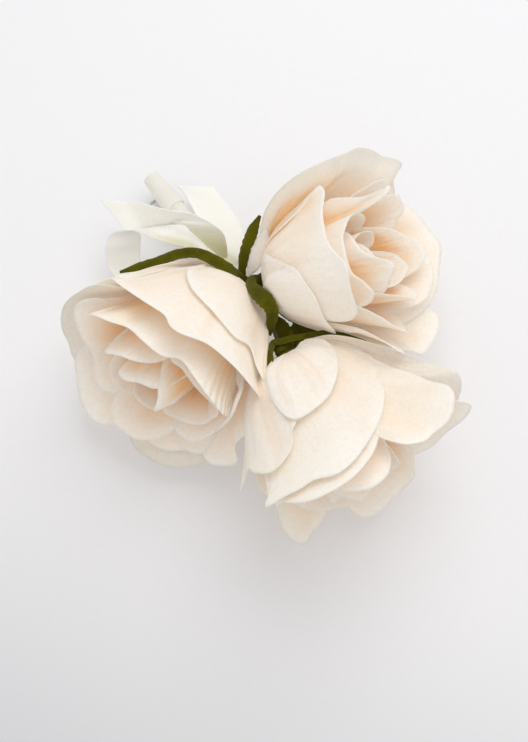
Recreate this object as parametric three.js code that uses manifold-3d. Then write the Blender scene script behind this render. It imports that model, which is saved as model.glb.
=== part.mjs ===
// A pin-on corsage: three cloth roses on wire stems, bound and wrapped together, tied with a ribbon bow and carried by a bar pin.
// Millimetres. It is first laid out as on a table: X to the right, Y away and Z up from where the stems meet.
// The last lines turn it so that the stems run down -Y and set it on the ground; +Z then points out of the wearer's chest.
import * as THREE from "three";
import { mergeVertices } from "three/addons/utils/BufferGeometryUtils.js";
import Module from "manifold-3d";

const wasm = await Module();
wasm.setup();

const { cos, sin, sqrt, abs, min, max, exp, PI } = Math;
const rad = THREE.MathUtils.degToRad;
const deg = THREE.MathUtils.radToDeg;
const vec = (x, y, z) => new THREE.Vector3(x, y, z);
const point2 = (x, y) => new THREE.Vector2(x, y);
const sized = (shares, size) => vec(...shares).multiplyScalar(size);
const UP = vec(0, 0, 1);
const FULL_TURN = 360;

// Shared by every piece
const CLEARANCE = 0.3;
const CUT_OVERRUN = 1;
const WELD = 1e-4;

// Petal cloth, and how the layers of a rose sit on its wire
const PETAL_CLOTH = 0.4;
const HUB_FACING = 0.1;
const HUB_THICKNESS = PETAL_CLOTH + 2 * HUB_FACING;
const LAYER_GAP = 0.3;
const CLAW_RADIUS = 2.8;
const CLAW_TUCK = 0.25;
const CLAWS_ANGLE = 165;
const HUB_RIM = 0.2;
const HUB_SIDES = 12;

// Each petal of a layer has one side over its neighbour and one under
const PINWHEEL_GAP = 0.1;
const PINWHEEL_STEP = PETAL_CLOTH + PINWHEEL_GAP;
const PINWHEEL_OPEN = 0.07;
const PINWHEEL_START = 6;
const PINWHEEL_RUN = 8;

// Petal outline
const SHOULDER_SHARE = 0.58;
const ROUND_POWER = 2.6;
const BROAD_FROM_SHARE = 0.5;
const POINT_LENGTH = 5;
const POINT_WIDTH_SHARE = 0.22;
const CURL_REACH_SHARE = 0.3;
const EDGE_CROWD = 0.2;
const ROW_SHARES = [0, 0.1, 0.24, 0.44, 0.72, 1];

// How a petal leaves the hub, stands and flares: degrees when closed, and the degrees that full openness adds
const LEAVE_ANGLES = [52, 40];
const LEAVE_RUN = 6;
const LEAVE_RUN_OPEN_SHARE = 0.417;
const STAND_ANGLES = [1, 23];
const FLARE_ANGLES = [-22, 62];
const FLARE_START = 26;
const FLARE_RUN = 30;
const PROFILE_STEPS = 18;

// Petal layers from the middle out, and how far a petal laps over its neighbours
const INNER_LENGTH = 41;
const SECOND_LENGTH = 44;
const THIRD_LENGTH = 48;
const OUTER_LENGTH = 53;
const LAYERS = [
  { layer: "inner", long: INNER_LENGTH, lap: 1, columns: 6 },
  { layer: "second", long: SECOND_LENGTH, lap: 1, columns: 5 },
  { layer: "third", long: THIRD_LENGTH, lap: 1, columns: 5 },
  { layer: "outer", long: OUTER_LENGTH, lap: 1.3, columns: 5 },
];

// Sepal cloth
const SEPAL_CLOTH = 0.6;
const SEPAL_LENGTH = 20;
const SEPAL_HALF_WIDTH = 2.6;
const SEPAL_WIDTH_SHARES = [0.7, 0.8, 0.95, 1, 0.9, 0.65, 0.12];
const CALYX_RIM = 0.6;

// Wires, and the stem they are bound into
const WIRE_RADIUS = 0.6;
const WIRE_SPACING = 0.3;
const WIRE_HOLE_GAP = 0.4;
const WIRE_SIDES = 6;
const WIRE_STEPS = 30;
const WIRE_TOP = 4;
const WIRE_STRAIGHT = 4;
const HUB_SPREAD = 20;
const STEM_FOOT_SHARES = [0, 0.1, -0.4];
const STEM_ALONG = vec(-0.6, 0.8, 0);
const STEM_ACROSS = vec(0.8, 0.6, 0);
const STEM_END = 58;
const TAPE_START = 16;
const TAPE_THICKNESS = 0.3;
const TAPE_SIDES = 16;

// Rose core and hip
const BUD_HEIGHT = 33;
const BUD_RADIUS = 3.4;
const BUD_SIDES = 10;
const BUD_RADIUS_SHARES = [0.5, 0.85, 1, 0.9, 0.6];
const HIP_LENGTH = 3.6;
const HIP_RADIUS = 2.4;
const HIP_NECK_RADIUS = 1.4;
const HIP_SHOULDER_SHARE = 0.4;

// Ribbon bow: a gathered band round the stem, with a loop and two tails
const RIBBON_WIDTH = 10;
const RIBBON_THICKNESS = 0.4;
const BAND_AFTER_TAPE = 1.5;
const BAND_START = TAPE_START + BAND_AFTER_TAPE;
const BAND_LENGTH = 6;
const BAND_THICKNESS = 1.1;
const BAND_SIDES = 12;
const BOW_REACH = 40;
const GATHER_SHARE = 0.5;
const GATHER_RUN_SHARE = 0.22;
const CUT_SLANT = 6;

// Ribbon wound round the stem, and its end folded over the cut wires
const WRAP_AFTER_BAND = 1.5;
const WRAP_START = BAND_START + BAND_LENGTH + WRAP_AFTER_BAND;
const WRAP_THICKNESS = 0.3;
const WRAP_WIDTH = 5.6;
const WRAP_SELF_GAP = 0.5;
const WRAP_STEPS_PER_TURN = 12;
const CAP_THICKNESS = 0.4;

// Bar pin: a bar with two ears and a catch, a needle on a rivet, and a sleeve that locks the needle in the catch
const BAR_LENGTH = 30;
const BAR_WIDTH = 5;
const BAR_THICKNESS = 0.8;
const BAR_CORNER = 2;
const BAR_INSET = 1;
const BAR_HOLE_RADIUS = 0.8;
const BAR_HOLE_SHARES = [-0.2, 0.17];
const HINGE_INSET = 2.4;
const CATCH_INSET = 4;
const NEEDLE_DROP = 5.05;
const NEEDLE_RADIUS = 0.45;
const NEEDLE_PAST_CATCH = 3.2;
const NEEDLE_TAPER = 3;
const NEEDLE_SIDES = 8;
const NEEDLE_PLAY = 0.35;
const RIVET_RADIUS = 0.5;
const RIVET_HEAD_RADIUS = 1.1;
const RIVET_HEAD = 0.4;
const EYE_WALL = 0.7;
const EYE_THICKNESS = 1;
const EAR_THICKNESS = 0.6;
const EAR_WALL = 0.7;
const SLEEVE_WALL = 0.4;
const HOUSING_WALL = 0.6;
const HOUSING_LENGTH = 2;
const POST_WIDTH = 1.6;
const FLANGE_RIM = 0.7;
const FLANGE_THICKNESS = 0.5;
const TAB_REACH = 4;
const TAB_WIDTH = 1.4;
const ROUND_SIDES = 16;
const CORNER_SEGMENTS = 4;

// A full ring of like petals, as a table with a column for each thing that a petal has.
// Angles and half widths are in degrees round the rose, openness runs from 0 to 1 and a curl adds to it at the edge.
const ring = (count, from, halfWidth, open, curl) => ({
  angles: Array.from({ length: count }, (_, k) => from + (k * FULL_TURN) / count),
  halfWidths: Array(count).fill(halfWidth),
  lengthShares: Array(count).fill(1),
  opens: Array(count).fill(open),
  curls: Array(count).fill(curl),
  pointShares: Array(count).fill(0),
  pointSides: Array(count).fill(0),
});

const innerRing = (from) => ring(3, from, 84, -0.02, 0);
const secondRing = (from) => ring(4, from, 70, 0.33, 0.03);
const thirdRing = (from, halfWidth) => ring(5, from, halfWidth, 0.66, 0.05);

// Each rose: its hub, the way it faces, which side of a petal lies on top, what presses on it, and its petals and sepals.
// A press is an angle round the rose, the share of openness it takes away, and how narrow it is.
// Angle 0 is the side that faces up.
const ROSES = {
  left_rose: {
    hubShares: [-0.385, 0.32, 0.3],
    heading: -124,
    lift: 19,
    overlap: 1,
    presses: [
      [180, 0.4, 2],
      [0, 0.28, 1],
      [-88, 0.2, 3],
    ],
    inner: innerRing(20),
    second: secondRing(60),
    third: thirdRing(-30, 58),
    outer: {
      angles: [-64, 3, 75, 144, -142],
      halfWidths: [58, 68, 60, 58, 58],
      lengthShares: [0.96, 0.96, 1, 1, 1],
      opens: [0.98, 1, 1, 1, 1],
      curls: [0.05, 0.05, 0.15, 0.1, 0.1],
      pointShares: [0.8, 0, 0, 0, 0.6],
      pointSides: [-0.5, 0, 0, 0, -0.4],
    },
    sepals: {
      angles: [80, 150, -140],
      lengthShares: [1.95, 1.2, 1],
      opens: [1.35, 1.4, 1.5],
    },
  },
  right_rose: {
    hubShares: [0.11, 0.4, 0.55],
    heading: 2.6,
    lift: 26,
    overlap: -1,
    presses: [
      [180, 0.36, 2],
      [0, 0.3, 1],
      [90, 0.22, 3],
    ],
    inner: innerRing(50),
    second: secondRing(10),
    third: thirdRing(30, 58),
    outer: {
      angles: [62, -6, -76, -148, 136],
      halfWidths: [60, 62, 62, 58, 58],
      lengthShares: [0.87, 0.91, 0.94, 1, 0.98],
      opens: [1, 1, 1, 1, 1],
      curls: [0.02, 0.05, 0.05, 0.1, 0.1],
      pointShares: [0, 0.6, 0.6, 0, 0],
      pointSides: [0, -0.6, 0.4, 0, 0],
    },
    sepals: {
      angles: [-92, 96, 170],
      lengthShares: [0.95, 1, 1.2],
      opens: [1.9, 1.3, 1.4],
    },
  },
  bottom_rose: {
    hubShares: [0.36, -0.86, 0.7],
    heading: -63.4,
    lift: -2,
    overlap: 1,
    presses: [
      [180, 0.37, 2],
      [0, 0.26, 1],
      [90, 0.14, 3],
      [-90, 0.14, 3],
    ],
    inner: innerRing(70),
    second: secondRing(30),
    third: thirdRing(18, 62),
    outer: {
      angles: [30, 96, -44, -112, 170],
      halfWidths: [50, 56, 60, 56, 58],
      lengthShares: [0.64, 0.94, 0.94, 1, 1],
      opens: [1.05, 1, 1, 1, 1],
      curls: [0, 0.05, 0.1, 0.1, 0.1],
      pointShares: [0, 1, 0, 0, 0.6],
      pointSides: [0, 0.5, 0, 0, 0],
    },
    sepals: {
      angles: [62, -88, 180],
      lengthShares: [1, 1.65, 1.2],
      opens: [1.25, 1.35, 1.4],
    },
  },
};

// Each wire's bends between its hip and the bundle, and its place in the bundle as an angle round the stem.
const WIRES = {
  left_rose: {
    bendShares: [
      [-0.2, 0.63, 0.04],
      [-0.27, 0.71, -0.18],
    ],
    place: 30,
  },
  right_rose: {
    bendShares: [
      [-0.16, 0.37, 0.31],
      [-0.17, 0.395, 0.05],
      [-0.29, 0.52, -0.25],
    ],
    place: 150,
  },
  bottom_rose: {
    bendShares: [
      [0.18, -0.4, 0.57],
      [0.115, 0.015, 0.21],
      [0, 0.25, -0.15],
      [-0.2, 0.43, -0.4],
    ],
    place: 270,
  },
};

// The bow's strips. Roots are shares of the band: along it, and across and up in its middle radius.
// Path points are shares of the bow's reach from the middle of the band, and ways say how the width runs at each point.
const STRIPS = {
  front_tail: {
    rootShares: [0.33, 0.2, 1],
    pathShares: [
      [0.068, 0.115, 0.225],
      [-0.055, 0.248, 0.3],
      [-0.25, 0.323, 0.3],
      [-0.563, 0.373, 0.238],
      [-0.86, 0.373, 0.175],
    ],
    ways: [
      [1, -0.2, -0.1],
      [1, 0.1, -0.3],
      [0.6, 0.7, -0.6],
      [-0.1, 0.4, -0.9],
      [0, 0.9, -0.4],
      [0, 1, -0.2],
    ],
    rows: 12,
  },
  back_tail: {
    rootShares: [0.5, 1, 0],
    pathShares: [
      [0.083, 0.185, -0.025],
      [0.033, 0.383, -0.1],
      [-0.195, 0.638, -0.175],
    ],
    ways: [
      [1, 0, 0.2],
      [0.9, 0.4, 0],
      [0.9, 0.4, 0],
      [0.75, 0.65, 0],
    ],
    rows: 7,
  },
  loop: {
    rootShares: [0.67, -0.14, 1],
    pathShares: [
      [-0.173, 0.16, 0.15],
      [-0.445, 0.195, 0.175],
      [-0.678, 0.253, 0.125],
      [-0.798, 0.2, 0.05],
      [-0.778, 0.075, -0.05],
      [-0.643, -0.035, -0.125],
      [-0.368, -0.085, -0.15],
      [-0.143, -0.035, -0.115],
    ],
    ways: [
      [0.4, 0.9, 0.1],
      [0.1, 1, 0.2],
      [0, 1, 0.2],
      [-0.4, 0.9, 0],
      [-0.8, 0.5, -0.2],
      [-1, -0.2, 0],
      [-0.7, -0.8, 0],
      [0, -1, 0],
      [0.2, -1, 0.2],
      [0.2, -1, 0.2],
    ],
    endRootShares: [0.5, -0.41, -1],
    rows: 20,
  },
};

// Colour, roughness and metalness of each stuff
const FINISHES = {
  petal: [0xf2e6d2, 0.85, 0],
  sepal: [0x5d661f, 0.95, 0],
  ribbon: [0xf3efe2, 0.5, 0],
  tape: [0x4f5a22, 0.8, 0],
  steel: [0xc9c9c6, 0.3, 1],
};

// How far the laid-out corsage is turned so that its stems run down -Y
const LAID_TURN = 143.13;

const group = new THREE.Group();
const laid = new THREE.Group();
group.add(laid);

function add(parent, name, geometry, stuff) {
  const [color, roughness, metalness] = FINISHES[stuff];
  const mesh = new THREE.Mesh(geometry, new THREE.MeshStandardMaterial({ color, roughness, metalness }));
  mesh.name = name;
  parent.add(mesh);
  return mesh;
}

// 0 before a run starts and 1 after it ends, with a soft step between.
function smooth(share) {
  const held = THREE.MathUtils.clamp(share, 0, 1);
  return held * held * (3 - 2 * held);
}

// A closed surface as a manifold solid.
function solidOf(geometry) {
  const bare = geometry.clone();
  bare.deleteAttribute("normal");
  bare.deleteAttribute("uv");
  const merged = mergeVertices(bare, WELD);
  return new wasm.Manifold(
    new wasm.Mesh({
      numProp: 3,
      vertProperties: merged.getAttribute("position").array,
      triVerts: new Uint32Array(merged.index.array),
    }),
  );
}

// A manifold solid as a surface.
function geometryOf(solid) {
  const made = solid.getMesh();
  const points = new Float32Array(made.numVert * 3);
  for (let i = 0; i < made.numVert; i++) {
    points.set(made.vertProperties.subarray(i * made.numProp, i * made.numProp + 3), i * 3);
  }
  const geometry = new THREE.BufferGeometry();
  geometry.setAttribute("position", new THREE.BufferAttribute(points, 3));
  geometry.setIndex(new THREE.BufferAttribute(made.triVerts, 1));
  geometry.computeVertexNormals();
  return geometry;
}

// Cloth as a closed shell over a grid: pointAt(column share, row share, face), with face 1 on one side and -1 on the other.
function clothGeometry(pointAt, columns, rows) {
  const points = [];
  const faces = [];
  const layer = (columns + 1) * (rows + 1);
  const index = (i, j, face) => (face > 0 ? 0 : layer) + j * (columns + 1) + i;
  for (const face of [1, -1]) {
    for (let j = 0; j <= rows; j++) {
      for (let i = 0; i <= columns; i++) {
        points.push(...pointAt(i / columns, j / rows, face).toArray());
      }
    }
  }
  const quad = (a, b, c, d) => faces.push(a, b, c, a, c, d);
  for (let j = 0; j < rows; j++) {
    for (let i = 0; i < columns; i++) {
      quad(index(i, j, 1), index(i + 1, j, 1), index(i + 1, j + 1, 1), index(i, j + 1, 1));
      quad(index(i, j, -1), index(i, j + 1, -1), index(i + 1, j + 1, -1), index(i + 1, j, -1));
    }
  }
  for (let i = 0; i < columns; i++) {
    quad(index(i, 0, -1), index(i + 1, 0, -1), index(i + 1, 0, 1), index(i, 0, 1));
    quad(index(i, rows, 1), index(i + 1, rows, 1), index(i + 1, rows, -1), index(i, rows, -1));
  }
  for (let j = 0; j < rows; j++) {
    quad(index(0, j, 1), index(0, j + 1, 1), index(0, j + 1, -1), index(0, j, -1));
    quad(index(columns, j, -1), index(columns, j + 1, -1), index(columns, j + 1, 1), index(columns, j, 1));
  }
  const geometry = new THREE.BufferGeometry();
  geometry.setAttribute("position", new THREE.Float32BufferAttribute(points, 3));
  geometry.setIndex(faces);
  return geometry;
}

// The same as a solid, turned so that its faces point out.
function clothSolid(pointAt, columns, rows) {
  const geometry = clothGeometry(pointAt, columns, rows);
  const solid = solidOf(geometry);
  if (solid.volume() > 0) return solid;
  geometry.index.array.reverse();
  return solidOf(geometry);
}

// A shape turned round Z, from an outline of radii and heights.
const lathe = (outline, sides) => new THREE.LatheGeometry(outline, sides).rotateX(PI / 2);

// A ring of rectangular section round Z, its lower face at z = 0.
function washer(outer, inner, thickness, sides) {
  const corners = [
    point2(inner, 0),
    point2(outer, 0),
    point2(outer, thickness),
    point2(inner, thickness),
    point2(inner, 0),
  ];
  return lathe(corners, sides);
}

// A round bar along Z, its lower face at z = 0.
const rod = (radius, length, sides) =>
  new THREE.CylinderGeometry(radius, radius, length, sides).rotateX(PI / 2).translate(0, 0, length / 2);

// The way up a petal at an openness: its radius, height and lean after a run of cloth.
function profile(run, open) {
  if (run <= 0) return { radius: CLAW_RADIUS + run, height: 0, lean: PI / 2 };
  const [leave, stand, flare] = [LEAVE_ANGLES, STAND_ANGLES, FLARE_ANGLES].map((angles) =>
    rad(angles[0] + angles[1] * open),
  );
  const leaveRun = LEAVE_RUN * (1 + LEAVE_RUN_OPEN_SHARE * open);
  const lean = (at) => leave * exp(-at / leaveRun) + stand + flare * smooth((at - FLARE_START) / FLARE_RUN);
  const step = run / PROFILE_STEPS;
  let radius = CLAW_RADIUS;
  let height = 0;
  for (let k = 0; k < PROFILE_STEPS; k++) {
    const angle = lean((k + 0.5) * step);
    radius += sin(angle) * step;
    height += cos(angle) * step;
  }
  return { radius, height, lean: lean(run) };
}

// The share of its openness that a petal keeps at an angle round the rose.
function room(rose, angle) {
  let share = 1;
  for (const [at, taken, narrow] of rose.presses) {
    share -= taken * exp(narrow * (cos(rad(angle - at)) - 1));
  }
  return share;
}

// A point of a rose's cloth, offset square to it, towards the outside when positive.
function roseSurface(rose, angle, run, open, offset) {
  const { radius, height, lean } = profile(run, open * room(rose, angle));
  const reach = radius + cos(lean) * offset;
  return vec(reach * cos(rad(angle)), reach * sin(rad(angle)), height - sin(lean) * offset);
}

// A round top on broad shoulders: the share of its length that a petal has at a place across it.
const topShare = (across) =>
  SHOULDER_SHARE + (1 - SHOULDER_SHARE) * max(0, 1 - abs(across) ** ROUND_POWER) ** (1 / ROUND_POWER);

// One petal: a narrow claw that broadens to its shoulders and ends in a round top, sometimes with a point.
function petalSolid(rose, { layer, long, lap, columns }, k) {
  const petals = rose[layer];
  const whole = long * petals.lengthShares[k];
  const claw = CLAWS_ANGLE / petals.angles.length;
  const rows = ROW_SHARES.length - 1;
  return clothSolid(
    (i, j, face) => {
      const side = i * 2 - 1;
      const across = side * (1 + EDGE_CROWD * (1 - side * side));
      const fromPoint = (across - petals.pointSides[k]) / POINT_WIDTH_SHARE;
      const point = petals.pointShares[k] * POINT_LENGTH * exp(-(fromPoint ** 2));
      const reachShare = 1 + (topShare(across) + point / whole - 1) * smooth(j);
      const run = (j > 0 ? whole * ROW_SHARES[Math.round(j * rows)] : -CLAW_TUCK) * reachShare;
      const broad = smooth(run / (whole * BROAD_FROM_SHARE));
      const halfWidth = claw + (petals.halfWidths[k] - claw) * broad;
      const curl = petals.curls[k] * smooth((j - 1 + CURL_REACH_SHARE) / CURL_REACH_SHARE);
      const over = lap * rose.overlap * across * smooth((run - PINWHEEL_START) / PINWHEEL_RUN);
      const open = petals.opens[k] + PINWHEEL_OPEN * over + curl;
      const offset = PINWHEEL_STEP * over + (face * PETAL_CLOTH) / 2;
      return roseSurface(rose, petals.angles[k] + across * halfWidth, run, open, offset);
    },
    columns,
    rows,
  );
}

const wireHole = WIRE_RADIUS + WIRE_HOLE_GAP;
const hub = (rim, thickness) =>
  solidOf(washer(CLAW_RADIUS + rim, wireHole, thickness, HUB_SIDES).translate(0, 0, -thickness / 2));

function layerGeometry(rose, build) {
  let layer = hub(HUB_RIM, HUB_THICKNESS);
  rose[build.layer].angles.forEach((_, k) => {
    layer = layer.add(petalSolid(rose, build, k));
  });
  return geometryOf(layer);
}

function sepalSolid(rose, k) {
  const { angles, lengthShares, opens } = rose.sepals;
  const long = SEPAL_LENGTH * lengthShares[k];
  const steps = SEPAL_WIDTH_SHARES.length - 1;
  return clothSolid(
    (i, j, face) => {
      const run = -CLAW_TUCK + j * (long + CLAW_TUCK);
      const half = SEPAL_HALF_WIDTH * SEPAL_WIDTH_SHARES[Math.round(j * steps)];
      const radius = max(profile(run, opens[k] * room(rose, angles[k])).radius, CLAW_RADIUS);
      const angle = angles[k] + deg(((i * 2 - 1) * half) / radius);
      return roseSurface(rose, angle, run, opens[k], (face * SEPAL_CLOTH) / 2);
    },
    2,
    steps,
  );
}

function calyxGeometry(rose) {
  let calyx = hub(CALYX_RIM, SEPAL_CLOTH);
  rose.sepals.angles.forEach((_, k) => {
    calyx = calyx.add(sepalSolid(rose, k));
  });
  return geometryOf(calyx);
}

// The rolled heart of a rose, standing on the end of its wire.
function budGeometry() {
  const base = WIRE_TOP + CLEARANCE;
  const outline = [point2(0, base)];
  BUD_RADIUS_SHARES.forEach((share, k) => {
    const height = (BUD_HEIGHT * (k + 0.5)) / BUD_RADIUS_SHARES.length;
    outline.push(point2(BUD_RADIUS * share, base + height));
  });
  outline.push(point2(0, base + BUD_HEIGHT));
  return lathe(outline, BUD_SIDES);
}

const layerPitch = HUB_THICKNESS + LAYER_GAP;
const calyxLevel = -(HUB_THICKNESS + SEPAL_CLOTH) / 2 - LAYER_GAP;
const hipTop = calyxLevel - SEPAL_CLOTH / 2 - CLEARANCE;
const hipFoot = hipTop - HIP_LENGTH;

// The rose hip: a small cone behind the calyx.
function hipGeometry() {
  const outline = [
    point2(wireHole, hipFoot),
    point2(HIP_NECK_RADIUS, hipFoot),
    point2(HIP_RADIUS, hipTop - HIP_LENGTH * HIP_SHOULDER_SHARE),
    point2(HIP_RADIUS, hipTop),
    point2(wireHole, hipTop),
    point2(wireHole, hipFoot),
  ];
  return lathe(outline, HUB_SIDES);
}

// A rose's own frame: Z the way it faces, X the side that faces up.
function roseMatrix(rose) {
  const flat = cos(rad(rose.lift));
  const facing = vec(cos(rad(rose.heading)) * flat, sin(rad(rose.heading)) * flat, sin(rad(rose.lift)));
  const upper = UP.clone().addScaledVector(facing, -facing.z).normalize();
  const hubAt = sized(rose.hubShares, HUB_SPREAD);
  return new THREE.Matrix4().makeBasis(upper, facing.clone().cross(upper), facing).setPosition(hubAt);
}

function addRoseHead(name, rose) {
  const head = new THREE.Group();
  head.applyMatrix4(roseMatrix(rose));
  laid.add(head);
  LAYERS.forEach((build, k) => {
    const petals = add(head, `${name}_${build.layer}_petals`, layerGeometry(rose, build), "petal");
    petals.position.z = (LAYERS.length - 1 - k) * layerPitch;
  });
  const calyx = add(head, `${name}_calyx`, calyxGeometry(rose), "sepal");
  calyx.position.z = calyxLevel;
  add(head, `${name}_bud`, budGeometry(), "petal");
  add(head, `${name}_hip`, hipGeometry(), "sepal");
}

const stemFoot = sized(STEM_FOOT_SHARES, HUB_SPREAD);
const stemPoint = (along, across, up) =>
  stemFoot.clone().addScaledVector(STEM_ALONG, along).addScaledVector(STEM_ACROSS, across).addScaledVector(UP, up);
// Lays a piece made along Z on the stem: its Z runs up the stem from a place, its X across and its Y up.
const stemMatrix = (along) =>
  new THREE.Matrix4().makeBasis(STEM_ACROSS, UP, STEM_ALONG.clone().negate()).setPosition(stemPoint(along, 0, 0));

const bundleRing = (2 * WIRE_RADIUS + WIRE_SPACING) / sqrt(3);
const tapeInner = bundleRing + WIRE_RADIUS + CLEARANCE;
const tapeOuter = tapeInner + TAPE_THICKNESS;
const wrapInner = tapeOuter + CLEARANCE;
const wrapOuter = wrapInner + WRAP_THICKNESS;

function wireSection() {
  const shape = new THREE.Shape();
  for (let k = 0; k < WIRE_SIDES; k++) {
    const angle = (k * 2 * PI) / WIRE_SIDES;
    const corner = [WIRE_RADIUS * cos(angle), WIRE_RADIUS * sin(angle)];
    if (k) shape.lineTo(...corner);
    else shape.moveTo(...corner);
  }
  shape.closePath();
  return shape;
}

// A wire from inside its rose, out through the hip and round its bends to its place in the bundle.
function wireGeometry(rose, { bendShares, place }) {
  const matrix = roseMatrix(rose);
  const onAxis = (z) => vec(0, 0, z).applyMatrix4(matrix);
  const inBundle = (along) => stemPoint(along, bundleRing * cos(rad(place)), bundleRing * sin(rad(place)));
  const points = [
    ...[WIRE_TOP, 0, hipFoot].map(onAxis),
    ...bendShares.map((shares) => sized(shares, HUB_SPREAD)),
    ...[TAPE_START, TAPE_START + WIRE_STRAIGHT, STEM_END - WIRE_STRAIGHT, STEM_END].map(inBundle),
  ];
  return new THREE.ExtrudeGeometry(wireSection(), {
    steps: WIRE_STEPS,
    extrudePath: new THREE.CatmullRomCurve3(points, false, "centripetal"),
  });
}

// Floral tape: a sleeve round the three wires.
const tapeGeometry = () =>
  washer(tapeOuter, tapeInner, STEM_END - TAPE_START, TAPE_SIDES).applyMatrix4(stemMatrix(STEM_END));

// The ribbon round the tape: one strip in open turns.
const wrapPitch = WRAP_WIDTH + WRAP_SELF_GAP;
const wrapTurns = (STEM_END - WRAP_START - WRAP_WIDTH) / wrapPitch;
const wrapSteps = Math.round(wrapTurns * WRAP_STEPS_PER_TURN);

function wrapPoint(i, j, face) {
  const angle = j * wrapTurns * 2 * PI;
  const radius = face > 0 ? wrapOuter : wrapInner;
  const along = WRAP_START + i * WRAP_WIDTH + j * wrapTurns * wrapPitch;
  return stemPoint(along, radius * cos(angle), radius * sin(angle));
}

// The least distance between one edge of a turn and the other edge of the next turn.
function wrapLeastGap() {
  const apart = WRAP_STEPS_PER_TURN / 2;
  let least = Infinity;
  for (const face of [1, -1]) {
    for (let k = 0; k <= wrapSteps; k++) {
      const edge = wrapPoint(1, k / wrapSteps, face);
      for (let n = k + apart; n < wrapSteps; n++) {
        const next = new THREE.Line3(wrapPoint(0, n / wrapSteps, face), wrapPoint(0, (n + 1) / wrapSteps, face));
        least = min(least, next.closestPointToPoint(edge, true, vec(0, 0, 0)).distanceTo(edge));
      }
    }
  }
  return least;
}

const capGeometry = () =>
  rod(wrapInner, CAP_THICKNESS, TAPE_SIDES).applyMatrix4(stemMatrix(STEM_END + CLEARANCE + CAP_THICKNESS));

const bandMiddle = stemPoint(BAND_START + BAND_LENGTH / 2, 0, 0);
const bandRadius = wrapInner + BAND_THICKNESS / 2;
const bandPoint = ([along, across, up]) =>
  stemPoint(BAND_START + BAND_LENGTH * along, bandRadius * across, bandRadius * up);

// One strip of the bow: gathered where it is rooted in the band, and cut on the slant where it ends.
function stripSolid({ rootShares, pathShares, ways, endRootShares, rows }) {
  const points = [bandPoint(rootShares), ...pathShares.map((shares) => sized(shares, BOW_REACH).add(bandMiddle))];
  if (endRootShares) points.push(bandPoint(endRootShares));
  const middle = new THREE.CatmullRomCurve3(points, false, "centripetal");
  const last = points.length - 1;
  const wayAt = (share) => {
    const at = min(Math.floor(share * last), last - 1);
    return vec(...ways[at]).normalize().lerp(vec(...ways[at + 1]).normalize(), share * last - at);
  };
  return clothSolid(
    (i, j, face) => {
      const along = middle.getTangent(j);
      const way = wayAt(j);
      const across = way.addScaledVector(along, -way.dot(along)).normalize();
      const fromRoot = endRootShares ? min(j, 1 - j) : j;
      const width = RIBBON_WIDTH * (GATHER_SHARE + (1 - GATHER_SHARE) * smooth(fromRoot / GATHER_RUN_SHARE));
      const slant = endRootShares ? 0 : CUT_SLANT * smooth(j);
      return middle
        .getPoint(j)
        .addScaledVector(across, (i - 0.5) * width)
        .addScaledVector(along, (i - 0.5) * slant)
        .addScaledVector(along.clone().cross(across), (face * RIBBON_THICKNESS) / 2);
    },
    2,
    rows,
  );
}

function bowGeometry() {
  const bandEnd = stemMatrix(BAND_START + BAND_LENGTH);
  let bow = solidOf(washer(wrapInner + BAND_THICKNESS, wrapInner, BAND_LENGTH, BAND_SIDES).applyMatrix4(bandEnd));
  for (const strip of Object.values(STRIPS)) bow = bow.add(stripSolid(strip));
  const bore = rod(wrapInner, 3 * BAND_LENGTH, BAND_SIDES).applyMatrix4(stemMatrix(BAND_START + 2 * BAND_LENGTH));
  return geometryOf(bow.subtract(solidOf(bore)));
}

// The bar pin is made with X down the stem and Z up, its bar's upper face at z = 0 and its middle at x = 0.
const hingeAt = -BAR_LENGTH / 2 + HINGE_INSET;
const catchAt = BAR_LENGTH / 2 - CATCH_INSET;
const needleLevel = -BAR_THICKNESS - NEEDLE_DROP;
const rivetHole = RIVET_RADIUS + CLEARANCE;
const eyeOuter = rivetHole + EYE_WALL;
const earHalf = rivetHole + EAR_WALL;
const earInner = EYE_THICKNESS / 2 + CLEARANCE;
const earOuter = earInner + EAR_THICKNESS;
const slotHalf = NEEDLE_RADIUS + CLEARANCE;
const sleeveInner = NEEDLE_RADIUS + NEEDLE_PLAY;
const sleeveOuter = sleeveInner + SLEEVE_WALL;
const flangeOuter = sleeveOuter + FLANGE_RIM;
const housingInner = sleeveOuter + CLEARANCE;
const housingOuter = housingInner + HOUSING_WALL;
const housingFrom = catchAt - HOUSING_LENGTH / 2;
const housingTo = catchAt + HOUSING_LENGTH / 2;
const sleeveFrom = housingFrom - CLEARANCE - FLANGE_THICKNESS;
const sleeveTo = housingTo + CLEARANCE + FLANGE_THICKNESS;

const block = (x0, x1, y0, y1, z0, z1) =>
  new THREE.BoxGeometry(x1 - x0, y1 - y0, z1 - z0).translate((x0 + x1) / 2, (y0 + y1) / 2, (z0 + z1) / 2);
// A round bar along X, on the needle's line.
const barX = (from, to, radius) =>
  rod(radius, to - from, ROUND_SIDES).rotateY(PI / 2).translate(from, 0, needleLevel);
// A round bar along Y, on the hinge's line.
const barY = (from, to, radius) =>
  new THREE.CylinderGeometry(radius, radius, to - from, ROUND_SIDES).translate(hingeAt, (from + to) / 2, needleLevel);
// The slot below the needle's line, through which the needle swings out of its catch.
const slotSolid = (from, to) => solidOf(block(from, to, -slotHalf, slotHalf, needleLevel - TAB_REACH, needleLevel));

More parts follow.
